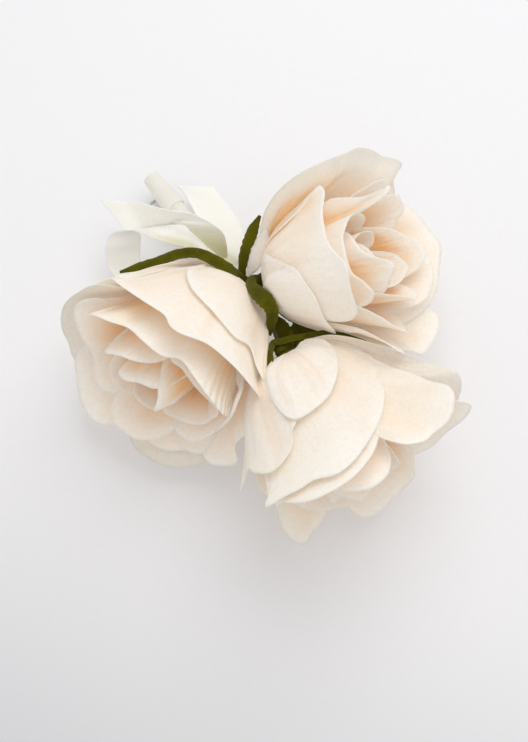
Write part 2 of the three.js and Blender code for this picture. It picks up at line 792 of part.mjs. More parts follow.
function barShape() {
  const x = BAR_LENGTH / 2;
  const y = BAR_WIDTH / 2;
  const shape = new THREE.Shape();
  shape.moveTo(-x + BAR_CORNER, -y);
  shape.lineTo(x - BAR_CORNER, -y).quadraticCurveTo(x, -y, x, -y + BAR_CORNER);
  shape.lineTo(x, y - BAR_CORNER).quadraticCurveTo(x, y, x - BAR_CORNER, y);
  shape.lineTo(-x + BAR_CORNER, y).quadraticCurveTo(-x, y, -x, y - BAR_CORNER);
  shape.lineTo(-x, -y + BAR_CORNER).quadraticCurveTo(-x, -y, -x + BAR_CORNER, -y);
  for (const share of BAR_HOLE_SHARES) {
    shape.holes.push(new THREE.Path().absarc(BAR_LENGTH * share, 0, BAR_HOLE_RADIUS, 0, 2 * PI, true));
  }
  return shape;
}

function barGeometry() {
  const flat = { depth: BAR_THICKNESS, bevelEnabled: false, curveSegments: CORNER_SEGMENTS };
  const root = -BAR_THICKNESS / 2;
  let bar = solidOf(new THREE.ExtrudeGeometry(barShape(), flat).translate(0, 0, -BAR_THICKNESS));
  for (const [y0, y1] of [
    [earInner, earOuter],
    [-earOuter, -earInner],
  ]) {
    bar = bar.add(solidOf(block(hingeAt - earHalf, hingeAt + earHalf, y0, y1, needleLevel - earHalf, root)));
  }
  bar = bar.subtract(solidOf(barY(-earOuter - CUT_OVERRUN, earOuter + CUT_OVERRUN, rivetHole)));
  const postHalf = POST_WIDTH / 2;
  const post = block(housingFrom, housingTo, -postHalf, postHalf, needleLevel + housingInner, root);
  bar = bar.add(solidOf(barX(housingFrom, housingTo, housingOuter)).add(solidOf(post)));
  bar = bar.subtract(solidOf(barX(housingFrom - CUT_OVERRUN, housingTo + CUT_OVERRUN, housingInner)));
  return geometryOf(bar.subtract(slotSolid(housingFrom - CUT_OVERRUN, housingTo + CUT_OVERRUN)));
}

function rivetGeometry() {
  const shank = earOuter + CLEARANCE;
  const end = shank + RIVET_HEAD;
  let rivet = solidOf(barY(-end, end, RIVET_RADIUS));
  rivet = rivet.add(solidOf(barY(shank, end, RIVET_HEAD_RADIUS)));
  return geometryOf(rivet.add(solidOf(barY(-end, -shank, RIVET_HEAD_RADIUS))));
}

function needleGeometry() {
  const tip = catchAt + NEEDLE_PAST_CATCH;
  const shaft = [
    point2(0, hingeAt + (rivetHole + eyeOuter) / 2),
    point2(NEEDLE_RADIUS, hingeAt + (rivetHole + eyeOuter) / 2),
    point2(NEEDLE_RADIUS, tip - NEEDLE_TAPER),
    point2(0, tip),
  ];
  const needle = solidOf(lathe(shaft, NEEDLE_SIDES).rotateY(PI / 2).translate(0, 0, needleLevel));
  const eye = solidOf(barY(-EYE_THICKNESS / 2, EYE_THICKNESS / 2, eyeOuter));
  return geometryOf(eye.add(needle).subtract(solidOf(barY(-EYE_THICKNESS, EYE_THICKNESS, rivetHole))));
}

function lockGeometry() {
  let lock = solidOf(barX(sleeveFrom, sleeveTo, sleeveOuter));
  lock = lock.add(solidOf(barX(sleeveFrom, sleeveFrom + FLANGE_THICKNESS, flangeOuter)));
  lock = lock.add(solidOf(barX(sleeveTo - FLANGE_THICKNESS, sleeveTo, flangeOuter)));
  const tabFrom = needleLevel - TAB_WIDTH / 2;
  const tabTo = needleLevel + TAB_WIDTH / 2;
  lock = lock.add(solidOf(block(sleeveTo - FLANGE_THICKNESS, sleeveTo, sleeveOuter, TAB_REACH, tabFrom, tabTo)));
  lock = lock.subtract(solidOf(barX(sleeveFrom - CUT_OVERRUN, sleeveTo + CUT_OVERRUN, sleeveInner)));
  return geometryOf(lock.subtract(slotSolid(sleeveFrom - CUT_OVERRUN, sleeveTo + CUT_OVERRUN)));
}

for (const [name, rose] of Object.entries(ROSES)) {
  addRoseHead(name, rose);
  add(laid, `${name}_wire`, wireGeometry(rose, WIRES[name]), "tape");
}
add(laid, "floral_tape", tapeGeometry(), "tape");
add(laid, "stem_wrap", geometryOf(clothSolid(wrapPoint, 1, wrapSteps)), "ribbon");
add(laid, "stem_cap", capGeometry(), "ribbon");
add(laid, "bow", bowGeometry(), "ribbon");
console.log(`stem_wrap: least gap to itself ${wrapLeastGap().toFixed(2)} mm`);

const pin = new THREE.Group();
const barMiddle = stemPoint(STEM_END - BAR_INSET - BAR_LENGTH / 2, 0, -wrapOuter - CLEARANCE);
pin.applyMatrix4(new THREE.Matrix4().makeBasis(STEM_ALONG, UP.clone().cross(STEM_ALONG), UP).setPosition(barMiddle));
laid.add(pin);
add(pin, "pin_bar", barGeometry(), "steel");
add(pin, "pin_rivet", rivetGeometry(), "steel");
add(pin, "pin_needle", needleGeometry(), "steel");
add(pin, "pin_sleeve", lockGeometry(), "steel");

// Turn the stems down -Y and stand everything on the ground, centred.
laid.rotateZ(rad(LAID_TURN));
laid.updateMatrixWorld(true);
const extent = new THREE.Box3().setFromObject(laid, true);
const centre = extent.getCenter(vec(0, 0, 0));
group.position.set(-centre.x, -centre.y, -extent.min.z);

export default group;
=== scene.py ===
# A pin-on corsage: three ivory cloth roses with flocked sepals, a ribbon bow, a wrapped stem and a bar pin.
# Shapes are in millimetres as the corsage lies on a table: X to the photograph's right, Y away and Z up.
import math

import bpy
import numpy as np
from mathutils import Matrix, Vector


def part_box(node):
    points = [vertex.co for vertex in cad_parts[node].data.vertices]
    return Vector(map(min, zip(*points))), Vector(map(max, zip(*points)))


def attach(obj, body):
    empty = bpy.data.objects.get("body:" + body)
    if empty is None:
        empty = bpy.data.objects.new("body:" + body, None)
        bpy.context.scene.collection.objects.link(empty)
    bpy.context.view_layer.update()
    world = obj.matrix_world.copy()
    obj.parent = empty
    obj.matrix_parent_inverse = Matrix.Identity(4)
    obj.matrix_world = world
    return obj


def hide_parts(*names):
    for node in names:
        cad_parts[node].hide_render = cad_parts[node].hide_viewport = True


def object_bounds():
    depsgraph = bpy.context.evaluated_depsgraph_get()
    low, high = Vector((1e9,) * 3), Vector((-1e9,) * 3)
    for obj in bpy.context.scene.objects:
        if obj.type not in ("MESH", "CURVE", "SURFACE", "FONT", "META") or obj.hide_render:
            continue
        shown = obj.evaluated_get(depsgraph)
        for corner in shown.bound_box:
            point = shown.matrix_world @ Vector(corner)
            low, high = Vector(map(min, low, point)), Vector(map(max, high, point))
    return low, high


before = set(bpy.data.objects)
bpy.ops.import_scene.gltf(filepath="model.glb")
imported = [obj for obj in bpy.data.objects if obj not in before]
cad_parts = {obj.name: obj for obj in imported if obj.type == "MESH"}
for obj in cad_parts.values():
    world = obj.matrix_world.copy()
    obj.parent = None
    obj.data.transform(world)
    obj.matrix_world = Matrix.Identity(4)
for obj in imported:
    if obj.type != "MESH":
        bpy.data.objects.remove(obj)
cad_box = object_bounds()

MM = 0.001
BODY = "corsage"
UP = np.array([0.0, 0.0, 1.0])

# How the laid-out corsage is turned in the frame, and its stem
LAID_TURN = math.radians(143.13)
HUB_SPREAD = 20
STEM_FOOT = np.array([0.0, 2.0, -8.0])
STEM_ALONG = np.array([-0.6, 0.8, 0.0])
STEM_ACROSS = np.array([0.8, 0.6, 0.0])
STEM_END = 58
TAPE_START = 16
TURN = np.array([
    [math.cos(LAID_TURN), -math.sin(LAID_TURN), 0],
    [math.sin(LAID_TURN), math.cos(LAID_TURN), 0],
    [0, 0, 1],
])


def stem_point(along, across, up):
    """A place on the stem: how far along it, across it and up from its middle."""
    along, across, up = (np.asarray(x, float)[..., None] for x in (along, across, up))
    return STEM_FOOT + along * STEM_ALONG + across * STEM_ACROSS + up * UP


def round_stem(along, radius, turn):
    """Places round the stem."""
    return stem_point(along, radius * np.cos(turn), radius * np.sin(turn))


def ring(radius, turn, height):
    """Places round a rose's own middle."""
    return np.stack([radius * np.cos(turn), radius * np.sin(turn), height], axis=-1)


tape_low, tape_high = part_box("floral_tape")
tape_middle = np.array((tape_low + tape_high) / 2) / MM
LAID_SHIFT = tape_middle - TURN @ stem_point((TAPE_START + STEM_END) / 2, 0, 0)


def to_frame(points):
    """Laid-out millimetres as the frame's metres."""
    return (np.asarray(points) @ TURN.T + LAID_SHIFT) * MM


def smooth(share):
    """0 before a run starts and 1 after it ends, with a soft step between."""
    held = np.clip(share, 0, 1)
    return held * held * (3 - 2 * held)


WAVES_SUMMED = 4
WAVE_RATES = (0.7, 1.3)


def waves(x, y, seed, scale, octaves=3):
    """Soft noise between about -1 and 1 over two coordinates, from a fixed seed."""
    random = np.random.default_rng(seed)
    total = np.zeros(np.broadcast(x, y).shape)
    for octave in range(octaves):
        for _ in range(WAVES_SUMMED):
            angle, phase = random.uniform(0, math.tau, 2)
            rate = scale * 2**octave * random.uniform(*WAVE_RATES)
            total += np.sin((x * math.cos(angle) + y * math.sin(angle)) * rate + phase) / 2**octave
    return total / WAVES_SUMMED


def unit(vectors):
    """Vectors at a length of 1."""
    return vectors / np.linalg.norm(vectors, axis=-1, keepdims=True)


ROUTE_NUDGE = 1e-4


def route(points, shares):
    """Places on a smooth way through points, at shares of it, and the directions there."""
    points = np.array(points, float)
    points = np.vstack([2 * points[0] - points[1], points, 2 * points[-1] - points[-2]])
    spans = len(points) - 3

    def place(share):
        at = share * spans
        start = np.clip(at.astype(int), 0, spans - 1)
        part = (at - start)[..., None]
        a, b, c, d = (points[start + k] for k in range(4))
        steps = (b - a, c - b, d - c)
        first, middle, last = (np.linalg.norm(step, axis=-1, keepdims=True) ** 0.5 for step in steps)
        leaving = ((b - a) / first - (c - a) / (first + middle) + (c - b) / middle) * middle
        arriving = ((c - b) / middle - (d - b) / (middle + last) + (d - c) / last) * middle
        bend = 3 * (c - b) - 2 * leaving - arriving
        twist = 2 * (b - c) + leaving + arriving
        return b + leaving * part + bend * part**2 + twist * part**3

    shares = np.clip(shares, 0, 1)
    return place(shares), unit(place(shares + ROUTE_NUDGE) - place(shares - ROUTE_NUDGE))


# Camera

CAMERA_ELEVATION = math.radians(74)
CAMERA_DISTANCE = 480
CAMERA_TARGET = np.array([0.6, -17.1, 0.0])
LENS = 77.6
CLIP_START = 0.01


def aim(thing, target):
    """Turns a camera or lamp towards a place."""
    toward = Vector(to_frame(target)) - thing.location
    thing.rotation_mode = "QUATERNION"
    thing.rotation_quaternion = toward.to_track_quat("-Z", "Y")


def add_camera():
    back = np.array([0, -math.cos(CAMERA_ELEVATION), math.sin(CAMERA_ELEVATION)])
    bpy.ops.object.camera_add(location=to_frame(CAMERA_TARGET + back * CAMERA_DISTANCE))
    camera = bpy.context.object
    aim(camera, CAMERA_TARGET)
    camera.data.lens = LENS
    camera.data.clip_start = CLIP_START
    bpy.context.scene.camera = camera


def select(*pieces):
    """Selects these pieces alone, with the first of them active."""
    bpy.ops.object.select_all(action="DESELECT")
    for piece in pieces:
        piece.select_set(True)
        bpy.context.view_layer.objects.active = pieces[0]


def edit(change, **settings):
    """Makes a change to the whole mesh of the active piece."""
    bpy.ops.object.mode_set(mode="EDIT")
    bpy.ops.mesh.select_all(action="SELECT")
    change(**settings)
    bpy.ops.object.mode_set(mode="OBJECT")


# Shader maths

class Value:
    """A shader socket that can be used in an expression."""

    def __init__(self, shader, socket):
        self.shader = shader
        self.socket = socket

    def maths(self, operation, *others, clamp=False):
        settings = {"operation": operation, "use_clamp": clamp}
        return self.shader.node("ShaderNodeMath", settings, [self, *others])[0]

    def __add__(self, other):
        return self.maths("ADD", other)

    def __mul__(self, other):
        return self.maths("MULTIPLY", other)

    def __sub__(self, other):
        return self.maths("SUBTRACT", other)

    def __rsub__(self, other):
        return self.shader.node("ShaderNodeMath", {"operation": "SUBTRACT"}, [other, self])[0]

    __radd__ = __add__
    __rmul__ = __mul__

    def sine(self):
        return self.maths("SINE")

    def held(self):
        """The value kept from 0 to 1."""
        return self.maths("ADD", 0.0, clamp=True)

    def step(self, low, high):
        """0 below low and 1 above high, softly."""
        inputs = {"Value": self, "From Min": low, "From Max": high}
        return self.shader.node("ShaderNodeMapRange", {"interpolation_type": "SMOOTHSTEP"}, inputs)[0]


class Shader:
    """One material and the nodes in it."""

    def __init__(self, name):
        self.material = bpy.data.materials.new(name)
        self.material.use_nodes = True
        self.tree = self.material.node_tree
        self.tree.nodes.clear()

    def node(self, kind, settings=None, inputs=None):
        """Adds a node: its settings first, then the values or links of its sockets. Gives its outputs."""
        made = self.tree.nodes.new(kind)
        for key, value in (settings or {}).items():
            setattr(made, key, value)
        given = inputs.items() if isinstance(inputs, dict) else enumerate(inputs or [])
        for key, value in given:
            if isinstance(value, Value):
                self.tree.links.new(value.socket, made.inputs[key])
            elif value is not None:
                made.inputs[key].default_value = value
        return [Value(self, output) for output in made.outputs]

    def object_place(self):
        return self.node("ShaderNodeTexCoord")[3]

    def attribute(self, name):
        return self.node("ShaderNodeAttribute", {"attribute_name": name})[2]

    def split(self, vector):
        return self.node("ShaderNodeSeparateXYZ", None, [vector])

    def uv(self):
        return self.split(self.node("ShaderNodeUVMap")[0])[:2]

    def joined(self, x, y):
        return self.node("ShaderNodeCombineXYZ", None, [x, y, 0.0])[0]

    def noise(self, place, scale, detail=2.0, roughness=0.5):
        inputs = {"Vector": place, "Scale": scale, "Detail": detail, "Roughness": roughness}
        return self.node("ShaderNodeTexNoise", None, inputs)[0]

    def mix(self, share, first, second):
        """Two colours mixed: first where share is 0, second where it is 1."""
        return self.node("ShaderNodeMix", {"data_type": "RGBA"}, {0: share, 6: first, 7: second})[2]

    def tint(self, base, mark, strength, colour):
        """The base with a colour over it where the mesh has a mark."""
        return self.mix((self.attribute(mark) * strength).held(), base, colour)

    def bump(self, height, distance, strength=1.0, normal=None):
        inputs = {"Strength": strength, "Distance": distance, "Height": height, "Normal": normal}
        return self.node("ShaderNodeBump", None, inputs)[0]

    def finish(self, **inputs):
        """The surface, from the principled shader's sockets by name with _ for a space."""
        named = {key.replace("_", " "): value for key, value in inputs.items()}
        surface = self.node("ShaderNodeBsdfPrincipled", None, named)[0]
        self.node("ShaderNodeOutputMaterial", None, {"Surface": surface})
        return self.material


def paint(red, green, blue):
    """A colour as the eye gives it, from 0 to 255, as the shader's linear one."""

    def linear(level):
        share = level / 255
        return share / 12.92 if share <= 0.04045 else ((share + 0.055) / 1.055) ** 2.4

    return (linear(red), linear(green), linear(blue), 1.0)


# Finishes: noise scales are to a metre of the piece, and bump distances are in metres

PATCHES = (0.3, 0.7)
PETAL_IVORY = paint(253, 248, 240)
PETAL_CREAM = paint(251, 244, 233)
PETAL_PEACH_TINT_AND_SHADE = paint(243, 194, 138)
PETAL_RIM_SHADE = paint(228, 223, 213)
PETAL_PLEAT_SHADE = paint(226, 196, 156)
PETAL_FLECK = paint(222, 200, 172)
PETAL_UV_SIZE = (60, 50)
WEAVE_PITCH = 0.42
PLEATS = 58


def petal_material():
    shader = Shader("ivory petal cloth")
    place = shader.object_place()
    across, along = shader.uv()
    cloud = shader.noise(place, scale=60, detail=3)
    fleck = shader.noise(place, scale=900)
    fibre = shader.noise(place, scale=1600)
    veins = shader.noise(shader.joined(across * 30, along * 3.5), scale=1.0, detail=3, roughness=0.6)
    pleats = (across * (math.tau * PLEATS)).sine() * shader.attribute("gathered")
    # Painted shade: a peach tint that deepens in the throat, in fold and crease hollows and along pressed
    # lines, partly the cloth's own peach at its base
    peach_tint_and_shade = shader.attribute("peach_tint_and_shade") * (0.35 + cloud * 0.4 + veins * 0.6)
    base = shader.mix(cloud.step(*PATCHES), PETAL_IVORY, PETAL_CREAM)
    base = shader.mix(peach_tint_and_shade.held(), base, PETAL_PEACH_TINT_AND_SHADE)
    # Painted shade: grey near the rims of far, shaded petals, along the slips' edges and at the bud's tip
    base = shader.tint(base, "edge", 0.75, PETAL_RIM_SHADE)
    # Painted shade: a peach stripe on one side of each pressed pleat
    base = shader.mix((pleats * 0.3).held(), base, PETAL_PLEAT_SHADE)
    base = shader.mix(fleck.step(0.35, 0.75) * 0.16, base, PETAL_FLECK)
    threads = (across * (math.tau * PETAL_UV_SIZE[0] / WEAVE_PITCH)).sine()
    threads = threads * (along * (math.tau * PETAL_UV_SIZE[1] / WEAVE_PITCH)).sine()
    normal = shader.bump(veins + pleats * 0.6, distance=0.0009, strength=0.6)
    normal = shader.bump(threads * 0.5 + fibre, distance=0.00006, strength=0.6, normal=normal)
    # Emission of the cloth's own colour is painted light: a glow that lifts its shaded parts
    return shader.finish(
        Base_Color=base, Roughness=0.82, Specular_IOR_Level=0.25,
        Subsurface_Weight=0.15, Subsurface_Radius=(1.0, 0.7, 0.45), Subsurface_Scale=0.0008,
        Emission_Color=base, Emission_Strength=0.075,
        Sheen_Weight=0.1, Sheen_Roughness=0.5, Normal=normal,
    )


SEPAL_DARK = paint(68, 65, 3)
SEPAL_OLIVE = paint(90, 88, 6)
SEPAL_EDGE = paint(104, 102, 20)
SEPAL_FLOCK = paint(104, 101, 14)


def sepal_material():
    shader = Shader("flocked sepal")
    place = shader.object_place()
    cloud = shader.noise(place, scale=180, detail=3)
    flock = shader.noise(place, scale=2200, detail=3, roughness=0.7)
    base = shader.mix(cloud.step(*PATCHES), SEPAL_DARK, SEPAL_OLIVE)
    base = shader.tint(base, "edge", 0.7, SEPAL_EDGE)
    base = shader.mix(flock.step(0.45, 0.8) * 0.5, base, SEPAL_FLOCK)
    normal = shader.bump(flock, distance=0.0003, strength=0.9)
    return shader.finish(
        Base_Color=base, Roughness=0.95, Specular_IOR_Level=0.05,
        Sheen_Weight=0.05, Sheen_Roughness=0.6, Normal=normal,
    )


RIBBON_IVORY = paint(253, 252, 247)
RIBBON_CREAM = paint(250, 248, 240)
RIBBON_RIB = paint(242, 239, 228)
RIBBON_EDGE = paint(254, 253, 250)
RIBBON_GREEN_SHADE = paint(190, 186, 132)
RIBBON_GREY_SHADE = paint(205, 198, 184)
RIBBON_WIDTH = 10
RIB_PITCH = 0.55
THREAD_PITCH = 0.4
EDGE_POWER = 8


def ribbon_material():
    shader = Shader("ribbed ivory ribbon")
    across, _ = shader.uv()
    cloud = shader.noise(shader.object_place(), scale=120)
    ribs = (shader.attribute("run") * (math.tau / RIB_PITCH)).sine()
    threads = (across * (math.tau * RIBBON_WIDTH / THREAD_PITCH)).sine()
    base = shader.mix(cloud, RIBBON_IVORY, RIBBON_CREAM)
    base = shader.mix(ribs.step(-1, -0.3), RIBBON_RIB, base)
    base = shader.tint(base, "edge", 0.5, RIBBON_EDGE)
    # Painted shade: green-tinged shade near the knot and on the loop's low edge, standing for green light
    # bounced from the tape
    base = shader.tint(base, "green", 0.8, RIBBON_GREEN_SHADE)
    # Painted shade: grey over the wound stem ribbon and its folded end
    base = shader.tint(base, "grey_shade", 0.8, RIBBON_GREY_SHADE)
    normal = shader.bump(ribs + threads * 0.2, distance=0.00007, strength=0.8)
    # Emission of the ribbon's own colour is painted light that brightens it
    return shader.finish(
        Base_Color=base, Roughness=0.48, Specular_IOR_Level=0.4,
        Subsurface_Weight=0.15, Subsurface_Radius=(1.0, 0.9, 0.7), Subsurface_Scale=0.001,
        Emission_Color=base, Emission_Strength=0.14,
        Sheen_Weight=0.2, Sheen_Roughness=0.4, Normal=normal,
    )


TAPE_DARK = paint(60, 66, 22)
TAPE_GREEN = paint(88, 96, 40)


def tape_material():
    shader = Shader("green floral tape")
    place = shader.object_place()
    crepe = shader.noise(place, scale=700, detail=3, roughness=0.6)
    cloud = shader.noise(place, scale=150)
    base = shader.mix(cloud.step(*PATCHES), TAPE_DARK, TAPE_GREEN)
    normal = shader.bump(crepe, distance=0.0002, strength=0.7)
    return shader.finish(Base_Color=base, Roughness=0.7, Specular_IOR_Level=0.35, Normal=normal)


NICKEL = paint(214, 213, 208)
NICKEL_WORN = paint(190, 188, 182)
DRAWN_SCALE = (1, 12, 1)


def steel_material():
    shader = Shader("nickel-plated steel")
    place = shader.object_place()
    stretched = shader.node("ShaderNodeMapping", None, {"Vector": place, "Scale": DRAWN_SCALE})[0]
    drawn = shader.noise(stretched, scale=500, detail=3)
    wear = shader.noise(place, scale=200, detail=3)
    base = shader.mix(wear.step(0.4, 0.8) * 0.5, NICKEL, NICKEL_WORN)
    normal = shader.bump(drawn, distance=0.00002, strength=0.4)
    return shader.finish(Base_Color=base, Metallic=1.0, Roughness=0.22 + drawn * 0.16, Normal=normal)


# Petal cloth on a rose

CLAW_RADIUS = 2.8
CLAW_TUCK = 0.25
CLAWS_ANGLE = 165
LEAVE = (52, 40)
LEAVE_RUN = (6, 2.5)
STAND = (1, 23)
FLARE = (-22, 62)
FLARE_START = 26
FLARE_RUN = 30
PROFILE_STEPS = 18
LAYER_PITCH = 0.9
CALYX_LEVEL = -0.9
HIP_TOP = -1.5
HIP_LENGTH = 3.6


def profile(run, opened):
    """The way up a petal at an openness: radius, height and lean after a run of cloth."""
    leave, stand, flare = (np.radians(a[0] + a[1] * opened) for a in (LEAVE, STAND, FLARE))
    leave_run = LEAVE_RUN[0] + LEAVE_RUN[1] * opened

    def lean(at):
        return leave * np.exp(-at / leave_run) + stand + flare * smooth((at - FLARE_START) / FLARE_RUN)

    step = np.maximum(run, 0) / PROFILE_STEPS
    radius = CLAW_RADIUS + np.minimum(run, 0)
    height = np.zeros_like(radius)
    for k in range(PROFILE_STEPS):
        angle = lean((k + 0.5) * step)
        radius = radius + np.sin(angle) * step
        height = height + np.cos(angle) * step
    return radius, height, np.where(run <= 0, math.pi / 2, lean(np.maximum(run, 0)))


class Rose:
    """A rose: its hub, the way it faces, what presses on it, and its petals, sepals, leaves and slips."""

    def __init__(self, name, hub, heading, lift, laps, presses, layers, sepals, leaves, slips=()):
        self.name = name
        self.laps = laps
        self.presses = presses
        self.layers = dict(zip(LAYERS, layers))
        self.sepals = sepals
        self.leaves = leaves
        self.slips = slips
        heading, lift = math.radians(heading), math.radians(lift)
        flat = math.cos(lift)
        facing = np.array([math.cos(heading) * flat, math.sin(heading) * flat, math.sin(lift)])
        upper = UP - facing * facing[2]
        upper /= np.linalg.norm(upper)
        self.basis = np.stack([upper, np.cross(facing, upper), facing], axis=1)
        self.hub = np.array(hub, float) * HUB_SPREAD

    def laid(self, points):
        """Points of the rose's own frame as it lies."""
        return points @ self.basis.T + self.hub

    def room(self, angle):
        """The share of its openness that cloth keeps at an angle round the rose."""
        share = np.ones_like(angle)
        for at, taken, narrow in self.presses:
            share = share - taken * np.exp(narrow * (np.cos(np.radians(angle - at)) - 1))
        return share

    def surface(self, angle, run, opened, offset):
        radius, height, lean = profile(run, opened * self.room(angle))
        return ring(radius + np.cos(lean) * offset, np.radians(angle), height - np.sin(lean) * offset)


PETAL_CLOTH = 0.2
PETAL_FILL = 0.5
LAYERS = {
    "outer": {"grid": (104, 44), "width": 50, "opened": 1.0, "deep": 36, "peach_tint_and_shade_strength": 0.16},
    "third": {"grid": (110, 42), "width": 40, "opened": 0.66, "deep": 18, "peach_tint_and_shade_strength": 0.75},
    "second": {"grid": (76, 38), "width": 34, "opened": 0.33, "deep": 14, "peach_tint_and_shade_strength": 1.0},
    "inner": {"grid": (64, 34), "width": 29, "opened": -0.02, "deep": 12, "peach_tint_and_shade_strength": 1.1},
}
USUAL_PETAL = {"roll": 1.0, "pleat": 0.0, "late": 1.0, "cool": 0.0, "blush": (0, 20, 0), "tuck": 0.0}
CLAW_RUN = 8
RIM_TURN_SCALE = 3
RIM_OPEN_SCALE = 10
RIM_SAMPLES = 400
RAG_RATE = 30
RAG_RUN = 30
RAG_DEPTH = 0.45
SPREAD_SHARE = 0.62
ROW_POWER = 1.15
INSIDE_RUN = 12
OVER_STEP = 0.7
OVER_START = 6
OVER_RUN = 8
ROLL_REACH = 7
ROLL_RUN = 40
ROLL_DEPTH = 0.35
FOLD_RATES = (4.2, 0.02)
FOLD_RUN = 35
FOLD_DEPTH = 0.5
FOLD_PAINTED_SHADE = 0.25
CREASE_RATES = (9, 0.025)
CREASE_DEPTH = 0.45
CREASE_PAINTED_SHADE = 0.18
WRINKLE_RATES = (34, 0.06)
WRINKLE_DEPTH = 0.14
LINE_DEPTH = 0.32
LINE_WIDTH = 0.22
LINE_PAINTED_SHADE = 0.2
SHADE_STREAK_REACH = 10
RIM_SHADE_REACH = 16
GATHER_SHARE = 0.36
GATHER_FADE = 0.08
GATHER_RUN = 30


def petal(at, rim, **own):
    """A petal: the angle of its middle, its rim, and what isn't as usual for it.

    A rim is angles and runs, with an openness where it isn't the petal's own. An end that is an angle alone
    is at the claw's usual run. Laps are how far each side lies over. A streak is a warm line of painted
    shade along a fold: its angle, how wide it is and how strong. A tuck sinks the cloth inside its rim.
    """
    rim = [place if isinstance(place, tuple) else (place, CLAW_RUN) for place in rim]
    return {"at": at, "rim": rim, **own}


def rim_places(rim, opened):
    """A petal's rim as smooth columns: shares along it, and its angle, run and openness there."""
    knots = [(angle / RIM_TURN_SCALE, run, (*own, opened)[0] * RIM_OPEN_SCALE) for angle, run, *own in rim]
    places = route(knots, np.linspace(0, 1, RIM_SAMPLES))[0]
    lengths = np.concatenate([[0], np.cumsum(np.linalg.norm(np.diff(places, axis=0), axis=1))])
    angles, runs, openness = places.T
    return lengths / lengths[-1], angles * RIM_TURN_SCALE, runs, openness / RIM_OPEN_SCALE


def petal_shape(rose, row, claw, level, layer, seed):
    """The places, peach tint with painted shade, and edge of one petal over its grid's column and row shares.
    """
    shares, *rim_lines = rim_places(row["rim"], row["opened"])

    def shape(u, v):
        rim_angle, rim_run, rim_open = (np.interp(u, shares, line) for line in rim_lines)
        rim_run = rim_run + RAG_DEPTH * waves(u * RAG_RATE, 0 * u, seed, 1.0, 3) * smooth(rim_run / RAG_RUN)
        start = row["at"] + claw * (2 * u - 1)
        angle = start + (rim_angle - start) * smooth(v / SPREAD_SHARE)
        run = np.where(v > 0, rim_run * v**ROW_POWER, -CLAW_TUCK)
        from_rim = rim_run * (1 - v**ROW_POWER)
        opened = row["opened"] + (rim_open - row["opened"]) * smooth(v) ** row["late"]
        inside = smooth(from_rim / ROLL_REACH) * smooth(run / INSIDE_RUN)

        low, high = row["laps"]
        over = (low + (high - low) * u) * smooth((run - OVER_START) / OVER_RUN)
        roll = row["roll"] * ROLL_DEPTH * smooth(1 - from_rim / ROLL_REACH) ** 2 * smooth(rim_run / ROLL_RUN)
        turn = np.radians(angle)
        fold_places = np.cos(turn) * FOLD_RATES[0], np.sin(turn) * FOLD_RATES[0] + run * FOLD_RATES[1]
        fold = waves(*fold_places, rose.seed + level, 1.0, 2)
        crease = waves(u * CREASE_RATES[0], run * CREASE_RATES[1], seed + 1, 1.6, 3)
        wrinkle = waves(u * WRINKLE_RATES[0], run * WRINKLE_RATES[1], seed + 5, 1.3, 2)
        line = np.exp(-((crease / LINE_WIDTH) ** 2))
        sunk = LINE_DEPTH * line + row["tuck"]
        offset = OVER_STEP * over + roll + FOLD_DEPTH * fold * smooth(run / FOLD_RUN)
        offset = offset + (CREASE_DEPTH * crease + WRINKLE_DEPTH * wrinkle - sunk) * inside

        # Painted shade: peach in fold and crease hollows and along pressed lines, and deepening into the
        # throat, partly the cloth's own tint there
        painted_hollow_shade = CREASE_PAINTED_SHADE * np.clip(-crease, 0, 1) + FOLD_PAINTED_SHADE * np.clip(-fold, 0, 1)
        peach_tint_and_shade = layer["peach_tint_and_shade_strength"] * smooth((from_rim - 1) / layer["deep"])
        peach_tint_and_shade = peach_tint_and_shade + (painted_hollow_shade + LINE_PAINTED_SHADE * line) * inside
        # Painted shade: a warm streak where a fold lies in shade
        streak, wide, strong = row["blush"]
        peach_tint_and_shade = peach_tint_and_shade + strong * np.exp(-(((angle - streak) / wide) ** 2)) * smooth(from_rim / SHADE_STREAK_REACH)
        gathered = row["pleat"] * (1 - smooth((u - GATHER_SHARE) / GATHER_FADE)) * smooth(run / GATHER_RUN)
        # Painted shade: grey near the rim of a far petal
        edge = row["cool"] * smooth(1 - from_rim / RIM_SHADE_REACH)
        points = rose.surface(angle, run, opened, offset) + level * LAYER_PITCH * UP
        return rose.laid(points), {"peach_tint_and_shade": peach_tint_and_shade, "edge": edge, "gathered": gathered}

    return shape


def grid_piece(name, columns, rows, shape, thickness):
    """A closed cloth: a grid laid into shape and given its thickness."""
    select()
    bpy.ops.mesh.primitive_grid_add(x_subdivisions=columns, y_subdivisions=rows, size=1)
    piece = bpy.context.object
    piece.name = name
    mesh = piece.data
    flat = np.empty(len(mesh.vertices) * 3)
    mesh.vertices.foreach_get("co", flat)
    u, v = np.round(flat.reshape(-1, 3)[:, :2].T + 0.5, 6)
    points, marks = shape(u, v)
    mesh.vertices.foreach_set("co", to_frame(points).ravel())
    for mark, values in marks.items():
        made = mesh.attributes.new(mark, "FLOAT", "POINT")
        made.data.foreach_set("value", np.broadcast_to(values, u.shape).ravel())
    mesh.update()
    if thickness:
        solid = piece.modifiers.new("cloth", "SOLIDIFY")
        solid.thickness = thickness * MM
        solid.offset = 0
        bpy.ops.object.modifier_apply(modifier=solid.name)
    return piece


def joined(name, pieces):
    """Several meshes as one piece."""
    select(*pieces)
    bpy.ops.object.join()
    pieces[0].name = name
    pieces[0].data.name = name
    return pieces[0]


def dress(piece, material, slot, *nodes):
    """Turns a piece's faces out, gives it its finish and its body, and hides the nodes that it stands for."""
    piece.data.materials.append(material)
    select(piece)
    edit(bpy.ops.mesh.normals_make_consistent, inside=False)
    bpy.ops.object.shade_smooth()
    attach(piece, BODY)
    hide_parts(*nodes)


# Each rose's petals in their order, and its leaves and slips as places that end with a half width

